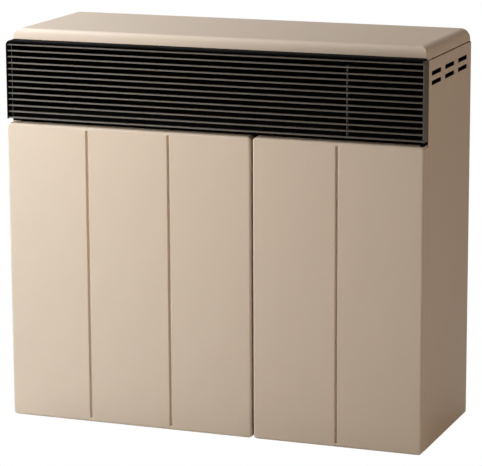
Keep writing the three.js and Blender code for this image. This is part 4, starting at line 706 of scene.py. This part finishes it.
CATCH_LEFT, CATCH_RIGHT, CATCH_FOOT, CATCH_TOP = 82.0, 120.0, 470.8, 482.8
STRIKE_FRONT, STRIKE_BACK = -254.5, -253.0
catch = soften(box(CATCH_LEFT, CATCH_RIGHT, -251.7, -233.8, CATCH_FOOT, CATCH_TOP), 0.8, 3)
poles = [soften(box(CATCH_LEFT + 3, CATCH_RIGHT - 3, -252.7, -248, z - 1, z + 1), 0.3)
         for z in (CATCH_FOOT + 4, CATCH_TOP - 4)]
put("magnetic_catch", merge(catch, *poles), "ferrite")

strike = prism(rounded(CATCH_LEFT, CATCH_RIGHT, CATCH_FOOT, CATCH_TOP, 2.0), facing,
               STRIKE_FRONT, STRIKE_BACK)
strike = soften(strike, 0.3)
for x in (90.0, 112.0):
    screw(strike, x, STRIKE_BACK, (CATCH_FOOT + CATCH_TOP) / 2, 2.4, "y", 1.0)
put("strike_plate", strike, "zinc_steel", "door")


# ---- heat exchanger and flue

EX_X, EX_FOOT, EX_TOP = -70.0, 132.0, 472.0
EX_FRONT, EX_MID, EX_BACK = -178.0, -118.0, -58.0
EX_HALF = 220.0
EX_CORNER, EX_FOLD, EX_SHEET = 16.0, 8.0, 2.0
RIB_FOOT, RIB_TOP, RIB_COUNT = 179.0, 438.0, 9
RIB_HALF, RIB_HEIGHT = 13.2, 9.0
RIB_PITCH = 2 * EX_HALF / RIB_COUNT
RIB_END = 12.0  # from a rib's end to where its dome starts
RIB_STEPS = (0, 5, 8.5, 11, 12.6, RIB_HALF, 16)
SEAM_HALF, SEAM_REACH = 1.5, 10.0
RIVETS = 14
FLUE_Z, FLUE_RADIUS, DUCT_RADIUS = 380.0, 44.0, 74.0
AIR_HOLES, AIR_HOLE_RING = 6, 58.0
SIGHT_X, SIGHT_Z = 48.0, 149.0


def rib_relief(u, v):
    """The ribs as pressed forms: half round across, with domed ends."""
    near = (u - EX_X + EX_HALF) % RIB_PITCH - RIB_PITCH / 2
    beyond = max(RIB_FOOT + RIB_END - v, v - RIB_TOP + RIB_END, 0.0)
    far = math.hypot(near, beyond)
    return -RIB_HEIGHT * max(0.0, 1.0 - (far / RIB_HALF) ** 2) ** 0.6


def exchanger():
    """Two pressed halves with a riveted seam between them, and four brackets to the wall."""
    columns = []
    for i in range(RIB_COUNT):
        middle = EX_X - EX_HALF + (i + 0.5) * RIB_PITCH
        columns += [middle - t for t in RIB_STEPS[:0:-1]] + [middle + t for t in RIB_STEPS]
    rows = [RIB_TOP + t for t in (4, 1.2, 0.6, -1, -3.5, -7, -RIB_END)]
    rows += [RIB_FOOT + t for t in (RIB_END, 7, 3.5, 1, -0.6, -1.2, -4)]
    left, right = EX_X - EX_HALF, EX_X + EX_HALF
    span = (left, right, EX_FOOT, EX_TOP)
    front = pressing(span, EX_MID - SEAM_HALF - EX_FRONT, EX_CORNER, EX_FOLD, EX_SHEET,
                     lambda u, v, w: (u, EX_FRONT + w, v), rib_relief, columns, rows)
    back = pressing(span, EX_BACK - EX_MID - SEAM_HALF, EX_CORNER, EX_FOLD, EX_SHEET,
                    lambda u, v, w: (u, EX_BACK - w, v))
    bores = [lathe(bar_profile(FLUE_RADIUS + 0.3, -66, -50, 0.1), "y", (EX_X, 0, FLUE_Z), 60)]
    for i in range(AIR_HOLES):
        x, z = around(EX_X, FLUE_Z, AIR_HOLE_RING, TURN * (i + 0.5) / AIR_HOLES)
        bores.append(lathe(bar_profile(9.0, -66, -50, 0.1), "y", (x, 0, z), 32))
    back = carve(back, *bores)
    seam = prism(rounded(left - SEAM_REACH, right + SEAM_REACH, EX_FOOT + SEAM_REACH,
                         EX_TOP + SEAM_REACH, 22.0, 8),
                 facing, EX_MID - SEAM_HALF, EX_MID + SEAM_HALF)
    seam = carve(seam, box(left + 3, right - 3, -125, -110, EX_FOOT, EX_TOP - 3))
    front = carve(front, lathe(bar_profile(11.0, -184, -170, 0.1), "y", (SIGHT_X, 0, SIGHT_Z), 40))
    mouth = box(EX_X - 185, EX_X + 185, EX_MID - 28, EX_MID + 28, 131, 142)
    whole = merge(carve(merge(front, back), mouth), soften(seam, 0.6, 3))
    for i in range(RIVETS):
        x = left + 12 + i * (2 * EX_HALF - 24) / (RIVETS - 1)
        merge(whole, lathe([(0.0, 0.5), (1.6, 0.4), (2.6, 0.0), (0.0, -0.4)], "y",
                           (x, EX_MID - 1.6, EX_TOP + SEAM_REACH / 2), 16))
    for x in (EX_X - 190, EX_X + 160):
        for z in (162.0, 442.0):
            merge(whole, soften(box(x, x + 30, EX_BACK - 0.3, -1.8, z, z + 12), 0.6))
    return whole


put("heat_exchanger", exchanger(), "exchanger_enamel", crease=40.0)

for name, outer, inner, low, high, chamfer, slot in (
        ("flue_pipe", FLUE_RADIUS, 42.0, -60.0, 0.0, 0.4, "aluminised_steel"),
        ("duct_seal", DUCT_RADIUS, 66.0, -57.7, -53.7, 0.6, "mineral_fibre"),
        ("air_duct", DUCT_RADIUS, 72.0, -53.4, 0.0, 0.4, "zinc_steel")):
    turned(name, ring_profile(outer, inner, low, high, chamfer), slot, "y", (EX_X, 0, FLUE_Z),
           sides=72, hollow=True)


KICK = -15.0  # the deflector's foot stands this far off the wall, clear of the screw heads


def deflector():
    """The curved sheet over the heat exchanger, with a kicked foot and end cheeks."""
    back, top, bend, front = -1.8, 606.7, 90.0, -228.0
    foot, kicked, straight, lip = 474.0, 494.0, 510.0, 512.3
    turns = [math.radians(3.75 * i) for i in range(25)]
    arc, inner = ([around(back - bend, top - bend, radius, a) for a in turns]
                  for radius in (bend, bend - SHEET))
    outline = [(KICK, foot), (KICK, kicked), (back, straight)] + arc
    outline += [(front, top), (front, top - SHEET)] + inner[::-1]
    outline += [(back - SHEET, straight + 0.5), (KICK - SHEET, kicked + 0.5), (KICK - SHEET, foot)]
    bm = soften(prism(outline, across, -342.5, 342.5), 0.3, 2)
    cheek = [(back - 0.8, 501.2)] + [(y - 0.8, z - 0.8) for y, z in arc]
    cheek += [(front + SHEET, top - 0.8), (front + SHEET, lip), (-217.2, lip), (-217.2, 501.2)]
    for low in (-341.3, 340.1):
        merge(bm, soften(prism(cheek, across, low, low + SHEET), 0.25))
    return bm


put("heat_deflector", deflector(), "black_enamel")

turned("sight_glass", bar_profile(13.0, -181.1, -178.3, 0.4), "heat_glass", "y",
       (SIGHT_X, 0, SIGHT_Z))
SCREW_FACE = -183.5
frame_ring = lathe([
    (11.0, SCREW_FACE), (12.0, SCREW_FACE), (17.2, SCREW_FACE), (18.0, -182.7), (18.0, -178.3),
    (13.3, -178.3), (13.3, -181.4), (11.0, -181.4)], "y", (SIGHT_X, 0, SIGHT_Z), 56, hollow=True)
for i in range(3):
    x, z = around(SIGHT_X, SIGHT_Z, 15.2, TURN * (i + 0.25) / 3)
    screw(frame_ring, x, SCREW_FACE, z, 1.7)
put("sight_frame", frame_ring, "zinc_steel")


# ---- burner

BURNER_X, BURNER_Y, BURNER_Z = -70.0, -118.0, 163.0
BURNER_HALF, PORTS = 160.0, 12
PLATE_HALF, PLATE_FOOT, PLATE_TOP, PLATE_CORNER = 200.0, 126.0, 129.0, 8.0
PLATE_DEPTH = 42.0  # half its depth
PILOT_Y = -139.0
STEMS = {"pilot_burner": (62.0, 4.0), "thermocouple": (75.0, 2.0),
         "ignition_electrode": (49.0, 2.0)}  # place along x, and radius


def flange(half_width, half_depth, low, high, radius):
    """A flat plate under the heat exchanger's foot, with rounded corners."""
    return prism(rounded(BURNER_X - half_width, BURNER_X + half_width,
                                      BURNER_Y - half_depth, BURNER_Y + half_depth, radius, 8),
                 upright, low, high)


plate = flange(PLATE_HALF, PLATE_DEPTH, PLATE_FOOT, PLATE_TOP, PLATE_CORNER)
holes = [prism(disc(x, PILOT_Y, radius + 0.3), upright, 120, 135)
         for x, radius in STEMS.values()]
plate = carve(plate, prism(disc(BURNER_X, BURNER_Y, 8.3, 40), upright, 120, 135), *holes)
plate = soften(plate, 0.4)
for i in range(8):
    for side in (-1, 1):
        screw(plate, BURNER_X - 180 + 360 * i / 7, BURNER_Y + side * 36.5, PLATE_FOOT, 3.0, "z",
              -1.0)
put("burner_plate", plate, "zinc_steel")

gasket = carve(flange(PLATE_HALF, PLATE_DEPTH, PLATE_TOP + 0.3, 131.7, PLATE_CORNER),
               flange(186.0, 29.0, 128.0, 133.0, 3.0))
put("burner_gasket", soften(gasket, 0.5), "mineral_fibre")

centre = (BURNER_X, BURNER_Y, BURNER_Z)
under = (BURNER_X, BURNER_Y, 0.0)
tube = lathe(bar_profile(15.0, -BURNER_HALF, BURNER_HALF, 1.5), "x", centre, 56)
stem = lathe(bar_profile(8.0, PLATE_FOOT - 8.0, BURNER_Z, 0.4), "z", under, 40)
ports = []
for i in range(PORTS):
    x = BURNER_X - BURNER_HALF + (i + 0.5) * 2 * BURNER_HALF / PORTS
    ports.append(prism(rounded(x - 2, x + 2, BURNER_Y - 6, BURNER_Y + 6, 1.9, 6), upright,
                       BURNER_Z + 7.5, BURNER_Z + 18))
bore = lathe(bar_profile(13.5, 1.5 - BURNER_HALF, BURNER_HALF - 1.5, 1.0), "x", centre, 56)
throat = lathe(bar_profile(6.0, 100.0, BURNER_Z, 0.1), "z", under, 40)
tube = carve(carve(tube, bore), *ports)
put("burner_tube", carve(merge(tube, carve(stem, throat))), "aluminised_steel", crease=30.0)


def pilot_stem(name, slot, top, head):
    """A stem of the pilot group: tail, collar on the plate, shaft and head."""
    x, radius = STEMS[name]
    foot = PLATE_FOOT - 10.0
    profile = [(0.0, foot), (radius - 0.3, foot), (radius, foot + 0.3), (radius, PLATE_TOP + 0.3),
               (radius + 1.2, PLATE_TOP + 0.3), (radius + 1.5, PLATE_TOP + 0.6),
               (radius + 1.5, PLATE_TOP + 2.0), (radius + 1.2, PLATE_TOP + 2.3),
               (radius, PLATE_TOP + 2.3), (radius, PLATE_TOP + 3.0)]
    put(name, lathe(profile + head + [(0.0, top)], "z", (x, PILOT_Y, 0.0), 32), slot, crease=30.0)


pilot_stem("pilot_burner", "brass", 169.6, [
    (4.0, 160.0), (5.4, 161.6), (5.5, 163.0), (5.5, 165.0), (4.6, 169.3), (3.2, 169.6)])
pilot_stem("thermocouple", "copper", 175.6, [
    (2.0, 150.0), (2.4, 150.6), (2.4, 153.0), (2.0, 153.6), (2.0, 168.0), (1.6, 169.6),
    (1.6, 174.4), (0.9, 175.5)])
pilot_stem("ignition_electrode", "ceramic", 177.6, [
    (2.0, 134.0), (2.4, 134.4), (2.4, 168.0), (2.0, 169.4), (1.1, 169.6), (1.0, 177.0),
    (0.7, 177.5)])


# ---- gas controls

CONTROL_FACE, CONTROL_LEFT, CONTROL_TOP = -201.0, 92.0, 122.0
VALVE_X, VALVE_Y, VALVE_Z = 184.0, -148.0, 78.0
BUTTON_X = 262.0
KNOB_AXIS, BUTTON_AXIS = (VALVE_X, 0, VALVE_Z), (BUTTON_X, 0, VALVE_Z)

panel = box(CONTROL_LEFT, 348.2, CONTROL_FACE, CONTROL_FACE + 12, 3.0, CONTROL_TOP)
panel = carve(panel,
              box(CONTROL_LEFT + SHEET, 360, CONTROL_FACE + SHEET, -180, -5, CONTROL_TOP - SHEET),
              lathe(bar_profile(15.3, -210, -190, 0.1), "y", KNOB_AXIS, 48),
              lathe(bar_profile(9.3, -210, -190, 0.1), "y", BUTTON_AXIS, 40))
panel = soften(panel, 0.5, 3)
for z in (112.0, 50.0):
    for x in (101.0, 334.0):
        screw(panel, x, CONTROL_FACE, z, 3.4)
put("control_panel", panel, "black_enamel")


def numeral(text, x, z, height):
    """A printed figure as a thin raised shape, drawn from the built-in face."""
    curve = bpy.data.curves.new("figure", "FONT")
    curve.body = text
    curve.size = height
    curve.extrude = 0.06
    curve.align_x = "CENTER"
    curve.align_y = "CENTER"
    spare = placed("figure", curve)
    figure = shape_of(spare)
    bpy.data.objects.remove(spare)
    bpy.data.curves.remove(curve)
    figure.transform(Matrix.Translation((x, CONTROL_FACE - 0.08, z))
                     @ Matrix.Rotation(math.radians(90), 4, "X"))
    return figure


DIAL_STEPS, DIAL_ANGLE, DOTS = 8, 40, 3
FIGURE_RING, DOT_RING, FIGURE_HEIGHT = 31.0, 27.0, 8.0


def dial():
    """Marks round the knob: a disc for off, a figure for each step of heat and dots between."""
    marks = bmesh.new()

    def place(step, ring):
        """The point of a step, in x and z."""
        return around(VALVE_X, VALVE_Z, ring, math.radians(90 - DIAL_ANGLE * step))

    def dot(step, ring, radius, sides):
        """Adds a round mark."""
        x, z = place(step, ring)
        merge(marks, lathe(bar_profile(radius, -0.12, 0.02, 0.02), "y", (x, CONTROL_FACE, z),
                           sides))

    dot(0, FIGURE_RING, 1.9, 28)
    for i in range(DIAL_STEPS):
        if i > 0:
            merge(marks, numeral(str(i), *place(i, FIGURE_RING), FIGURE_HEIGHT))
        if i < DIAL_STEPS - 1:
            for k in range(1, DOTS + 1):
                dot(i + k / (DOTS + 1), DOT_RING, 0.5 + 0.05 * i, 14)
    return marks


put("dial_marks", dial(), "black_enamel", finish="printed_ink", added=True)

BODY_FRONT, BODY_BACK = -187.0, -109.0
body = prism(rounded(142.0, 226.0, 55.0, 101.0, 5.0, 8), facing, BODY_FRONT, BODY_BACK)
body = carve(body,
             box(150, 218, -190, -186, 61, 95),
             box(140, 143.2, -182, -163, 61, 83),
             box(224.8, 228, -182, -166, 61, 95))
body = soften(body, 1.0, 3)
merge(body, soften(prism(rounded(151, 217, 62, 94, 4.0, 8), facing, BODY_FRONT + 0.1, -184.0), 0.5))
neck = lathe([(4.3, -205.0), (13.6, -205.0), (15.0, -203.6), (15.0, -199.0), (14.0, -198.0),
              (14.0, -192.0), (15.0, -191.0), (15.0, -186.0), (4.3, -186.0)], "y", KNOB_AXIS, 56,
             hollow=True)
merge(body, neck)
for z in (67.0, 89.0):
    for x in (156.0, 212.0):
        screw(body, x, BODY_FRONT + 0.1, z, 2.6)


def hexagon(radius, x0, x1):
    """A hexagon boss of the valve, along x."""
    return soften(prism(disc(0, 0, radius, 6), lambda u, v, w: (w, VALVE_Y + u, VALVE_Z + v),
                        x0, x1), 0.35)


merge(body, hexagon(9.8, 135.0, 142.4), hexagon(12.3, 225.6, 233.0))
magnet = [(0.0, 100.8), (10.2, 100.8), (11.0, 101.6)]
for i in range(4):
    z = 102.6 + 1.6 * i  # foot of one of the ridges
    magnet += [(11.0, z), (10.5, z + 0.4), (10.5, z + 0.8), (11.0, z + 1.2)]
magnet += [(11.0, 110.0), (10.0, 111.0), (0.0, 111.0)]
merge(body, lathe(magnet, "z", (160.0, VALVE_Y, 0.0), 48))
put("gas_valve", body, "cast_alloy", crease=32.0)

LEAF_LEFT, LEAF_RIGHT, LEAF_FACE = 152.0, 216.0, -199.5
bracket = merge(box(LEAF_LEFT, LEAF_RIGHT, LEAF_FACE, -119.0, 52.7, 54.7),
                box(LEAF_LEFT, LEAF_RIGHT, LEAF_FACE, LEAF_FACE + 2.0, 30.7, 54.7))
bracket = soften(bracket, 0.5)
for x in (LEAF_LEFT + 12, LEAF_RIGHT - 12):
    screw(bracket, x, LEAF_FACE + 2.0, 41.0, 3.0, "y", 1.0)
put("valve_bracket", bracket, "zinc_steel")

turned("valve_plunger", bar_profile(3.0, -190.7, -178.7, 0.4), "plain_steel", "y", KNOB_AXIS,
       "knob_plunger", 32)
turned("valve_spindle", bar_profile(4.0, -224.0, -191.0, 0.5), "plain_steel", "y", KNOB_AXIS,
       "knob", 40)

SCALLOPS, SCALLOP_DEPTH = 12, 0.9


def knob():
    """The control knob: tapered skirt, scalloped waist, dished face and a pointer rib."""
    levels = [(-209.3, 22.0, 0.0), (-209.9, 22.0, 0.0), (-212.9, 20.7, 0.0), (-213.3, 20.2, 0.0),
              (-213.5, 18.2, 1.0), (-216.0, 18.0, 1.0), (-226.0, 17.7, 1.0), (-227.4, 17.2, 0.9),
              (-228.1, 16.2, 0.6), (-228.3, 15.0, 0.2), (-228.0, 13.8, 0.0), (-227.8, 8.0, 0.0)]
    rings = []
    bm = bmesh.new()
    for y, radius, waved in levels:
        ring = []
        for i in range(144):
            turn = TURN * i / 144
            reach = radius + SCALLOP_DEPTH * waved * math.cos(SCALLOPS * turn)
            ring.append(bm.verts.new((VALVE_X + reach * math.sin(turn), y,
                                      VALVE_Z + reach * math.cos(turn))))
        rings.append(ring)
    loop_faces(bm, rings)
    bm.faces.new(rings[0])
    bm.faces.new(rings[-1][::-1])
    bm = carve(bm, lathe(bar_profile(4.3, -224.3, -200.0, 0.1), "y", KNOB_AXIS, 36))
    pointer = prism(rounded(VALVE_X - 1.5, VALVE_X + 1.5, VALVE_Z, VALVE_Z + 15.4, 1.4, 6), facing,
                    -229.3, -227.5)
    return merge(bm, soften(pointer, 0.4))


put("control_knob", knob(), "black_plastic", "knob", 30.0)

turned("igniter_body", [
    (7.3, -203.8), (10.4, -203.8), (11.0, -203.4), (12.0, -201.7), (11.8, -201.3), (9.0, -201.3),
    (9.0, -199.5), (10.0, -199.5), (10.0, -185.0), (9.5, -184.6), (9.5, -183.0), (10.0, -182.6),
    (10.0, -171.0), (9.0, -169.5), (0.01, -169.5), (0.01, -190.0), (7.3, -190.0)],
    "black_plastic", "y", BUTTON_AXIS, hollow=True, crease=30.0)
turned("igniter_button", [
    (0.0, -211.2), (4.5, -211.3), (5.6, -211.8), (6.4, -211.6), (7.0, -210.8), (7.0, -198.4),
    (6.4, -197.8), (0.0, -197.8)], "red_plastic", "y", BUTTON_AXIS, "button")


# ---- pipes, leads and thermostat

def between(p, q, start, end, t):
    """The point on the line through p at start and q at end, at t."""
    return p * (end - t) / (end - start) + q * (t - start) / (end - start)


def curve_through(points, steps):
    """A centripetal Catmull-Rom curve through points, with straight ends."""
    points = [Vector(p) for p in points]
    line = [2 * points[0] - points[1]] + points + [2 * points[-1] - points[-2]]
    out = []
    for a, b, c, d in zip(line, line[1:], line[2:], line[3:]):
        t1 = (b - a).length ** 0.5
        t2 = t1 + (c - b).length ** 0.5
        t3 = t2 + (d - c).length ** 0.5
        for k in range(steps):
            t = t1 + (t2 - t1) * k / steps
            ab, bc, cd = between(a, b, 0, t1, t), between(b, c, t1, t2, t), between(c, d, t2, t3, t)
            out.append(between(between(ab, bc, 0, t2, t), between(bc, cd, t1, t3, t), t1, t2, t))
    return out + [points[-1]]


def bent(name, points, radius, slot, sides=24, steps=8):
    """A bent pipe or lead that stands for the node of its own name."""
    put(name, pipe(curve_through(points, steps), radius, sides), slot)


INLET_X = 300.0
BULB_Y, BULB_Z = -211.0, 20.0
STEM_FOOT = 115.7  # where the lines meet the tails of the pilot group
bent("gas_inlet_pipe", [(233.3, VALVE_Y, VALVE_Z), (276, VALVE_Y, VALVE_Z), (292.8, VALVE_Y, 70.8),
                        (INLET_X, VALVE_Y, 54), (INLET_X, VALVE_Y, 9)], 7.5, "copper", 36, 10)
bent("burner_feed_pipe", [
    (134.7, VALVE_Y, VALVE_Z), (114.7, VALVE_Y, VALVE_Z), (-30, BURNER_Y, 83), (-50, BURNER_Y, 83),
    (-64, BURNER_Y, 89), (BURNER_X, BURNER_Y, 103), (BURNER_X, BURNER_Y, 117.7)], 5.0,
    "aluminised_steel", 32)
bent("pilot_pipe", [
    (141.7, -125, 92), (125.7, -125, 92), (78, PILOT_Y, 92), (66, PILOT_Y, 96), (62, PILOT_Y, 108),
    (62, PILOT_Y, STEM_FOOT)], 2.2, "aluminised_steel")
bent("thermocouple_lead", [
    (141.7, -141, 92), (125.7, -141, 92), (91, PILOT_Y, 98.6), (79, PILOT_Y, 102.6),
    (75, PILOT_Y, 114.6), (75, PILOT_Y, STEM_FOOT)], 1.3, "copper", 18)
bent("ignition_lead", [
    (BUTTON_X, -169.2, VALVE_Z), (BUTTON_X, -165.2, VALVE_Z), (258, -163.2, 94),
    (230, -171.2, 115), (142, -171.2, 115), (65, -155, 99), (49, -143, 99), (49, PILOT_Y, 107),
    (49, PILOT_Y, STEM_FOOT)], 2.0, "red_plastic", 20)
bent("capillary_tube", [
    (5.3, BULB_Y, BULB_Z), (13.3, BULB_Y, BULB_Z), (29.3, -180, 25), (101.7, -175, 55),
    (129.7, -175, 63), (141.7, -175, 63)], 1.3, "copper", 18)

nut = soften(prism(disc(INLET_X, VALVE_Y, 17.0, 6), upright, 6, 22), 0.9, 3)
nut = carve(nut, lathe(bar_profile(8.1, 0, 30, 0.1), "z", (INLET_X, VALVE_Y, 0), 40))
put("union_nut", nut, "brass")

turned("thermostat_bulb", [(0.0, -85.0), (2.6, -84.9), (4.2, -83.8), (5.0, -81.5), (5.0, 0.5),
                           (4.6, 1.8), (3.0, 3.0), (1.9, 3.6), (1.8, 5.0), (0.0, 5.0)], "copper",
       "x", (0, BULB_Y, BULB_Z), sides=32)
CLIP_LEFT, CLIP_RIGHT = -47.0, -33.0
clip = lathe(ring_profile(6.5, 5.3, CLIP_LEFT, CLIP_RIGHT, 0.3), "x", (0, BULB_Y, BULB_Z), 40,
             hollow=True)
strap = box(CLIP_LEFT, CLIP_RIGHT, BULB_Y - 0.6, BULB_Y + 0.6, 26.2, 38.5)
hook = box(CLIP_LEFT, CLIP_RIGHT, -232.3, BULB_Y + 0.6, 37.3, 38.5)
put("bulb_clip", merge(clip, soften(strap, 0.25), soften(hook, 0.25)), "zinc_steel")


# ---- studio

def white_for_camera(name, colour, plain):
    """A pale backdrop material: white where the camera sees it, a plain tone where it only lights
    the object."""
    material, tree, output = blank(name)
    lit = add(tree, "ShaderNodeBsdfDiffuse", {"Color": plain})
    bright = add(tree, "ShaderNodeEmission", {"Color": colour, "Strength": 1.0})
    path = add(tree, "ShaderNodeLightPath")
    mix = add(tree, "ShaderNodeMixShader", {
        0: path.outputs["Is Camera Ray"], 1: lit.outputs[0], 2: bright.outputs[0]})
    tree.links.new(mix.outputs[0], output.inputs["Surface"])
    return material


floor_mesh = bpy.data.meshes.new("floor")
reach = 12.0  # metres either way
drop = FOOT * MM - 0.002
floor_mesh.from_pydata([(-reach, -reach, drop), (reach, -reach, drop), (reach, reach, drop),
                        (-reach, reach, drop)], [], [(0, 1, 2, 3)])
floor_mesh.materials.append(white_for_camera("pale_floor", (1, 1, 1, 1), linear("#e6e2dc")))
floor = placed("floor", floor_mesh)

world = bpy.data.worlds.new("studio")
scene.world = world
world.use_nodes = True
sky = world.node_tree
sky.nodes.clear()
light_path = add(sky, "ShaderNodeLightPath")
direct = add(sky, "ShaderNodeMath", {
    0: light_path.outputs["Is Camera Ray"], 1: light_path.outputs["Is Transmission Ray"]},
    operation="MAXIMUM")
room = add(sky, "ShaderNodeBackground", {"Color": linear("#c9bcae"), "Strength": 0.04})
paper = add(sky, "ShaderNodeBackground", {"Color": (1, 1, 1, 1), "Strength": 1.0})
blend = add(sky, "ShaderNodeMixShader", {
    0: direct.outputs[0], 1: room.outputs[0], 2: paper.outputs[0]})
add(sky, "ShaderNodeOutputWorld", {"Surface": blend.outputs[0]})


def lamp(name, place, target, size, power, colour):
    """A soft box that faces a target; its size is (width, height) in metres."""
    data = bpy.data.lights.new(name, "AREA")
    data.shape = "RECTANGLE"
    data.size, data.size_y = size
    data.energy = power
    data.color = linear(colour)[:3]
    soft_box = placed(name, data)
    soft_box.location = place
    soft_box.rotation_euler = (Vector(target) - Vector(place)).to_track_quat("-Z", "Y").to_euler()


LAMPS = (
    ("top_left", (-1.4, 0.3, 1.6), (0.0, -0.1, 0.2), (0.8, 0.8), 40.0, "#f1f6ff"),
    ("near", (-1.1, -0.85, 0.35), (-0.25, -0.25, 0.0), (0.5, 0.8), 8.6, "#b4e0ff"),
    ("high", (-1.0, -0.6, 1.1), (-0.25, -0.2, 0.1), (0.5, 0.5), 6.7, "#e2f3ff"),
    ("close", (-0.55, -1.05, 0.5), (-0.2, -0.25, 0.0), (0.4, 0.4), 7.4, "#fff0e2"),
    ("top_right", (1.5, 0.4, 1.6), (0.3, -0.1, 0.3), (0.8, 0.8), 8.4, "#fff4ea"),
    ("right", (1.8, -0.6, 1.3), (0.3, -0.1, 0.2), (0.8, 0.8), 2.3, "#ffeddb"),
    ("low_right", (1.8, -1.0, -0.1), (0.3, -0.1, -0.1), (0.8, 0.4), 4.0, "#ffe8d2"),
)
for row in LAMPS:
    lamp(*row)


camera = bpy.data.cameras.new("camera")
camera.sensor_width = 36.0
camera.lens = 189.0
camera.clip_end = 50.0
viewer = placed("camera", camera)
# The camera's axes and place, fitted to the straight edges of the photograph.
right = Vector((0.93564, 0.35293, -0.00433))
up = Vector((-0.06975, 0.19693, 0.97794))
ahead = Vector((-0.34600, 0.91469, -0.20887))
stand = Vector((1.42566, -3.88683, 0.84428))
viewer.matrix_world = Matrix(
    [(right[i], up[i], -ahead[i], stand[i]) for i in range(3)] + [(0.0, 0.0, 0.0, 1.0)])
scene.camera = viewer

scene.view_settings.view_transform = "Standard"
scene.view_settings.look = "None"
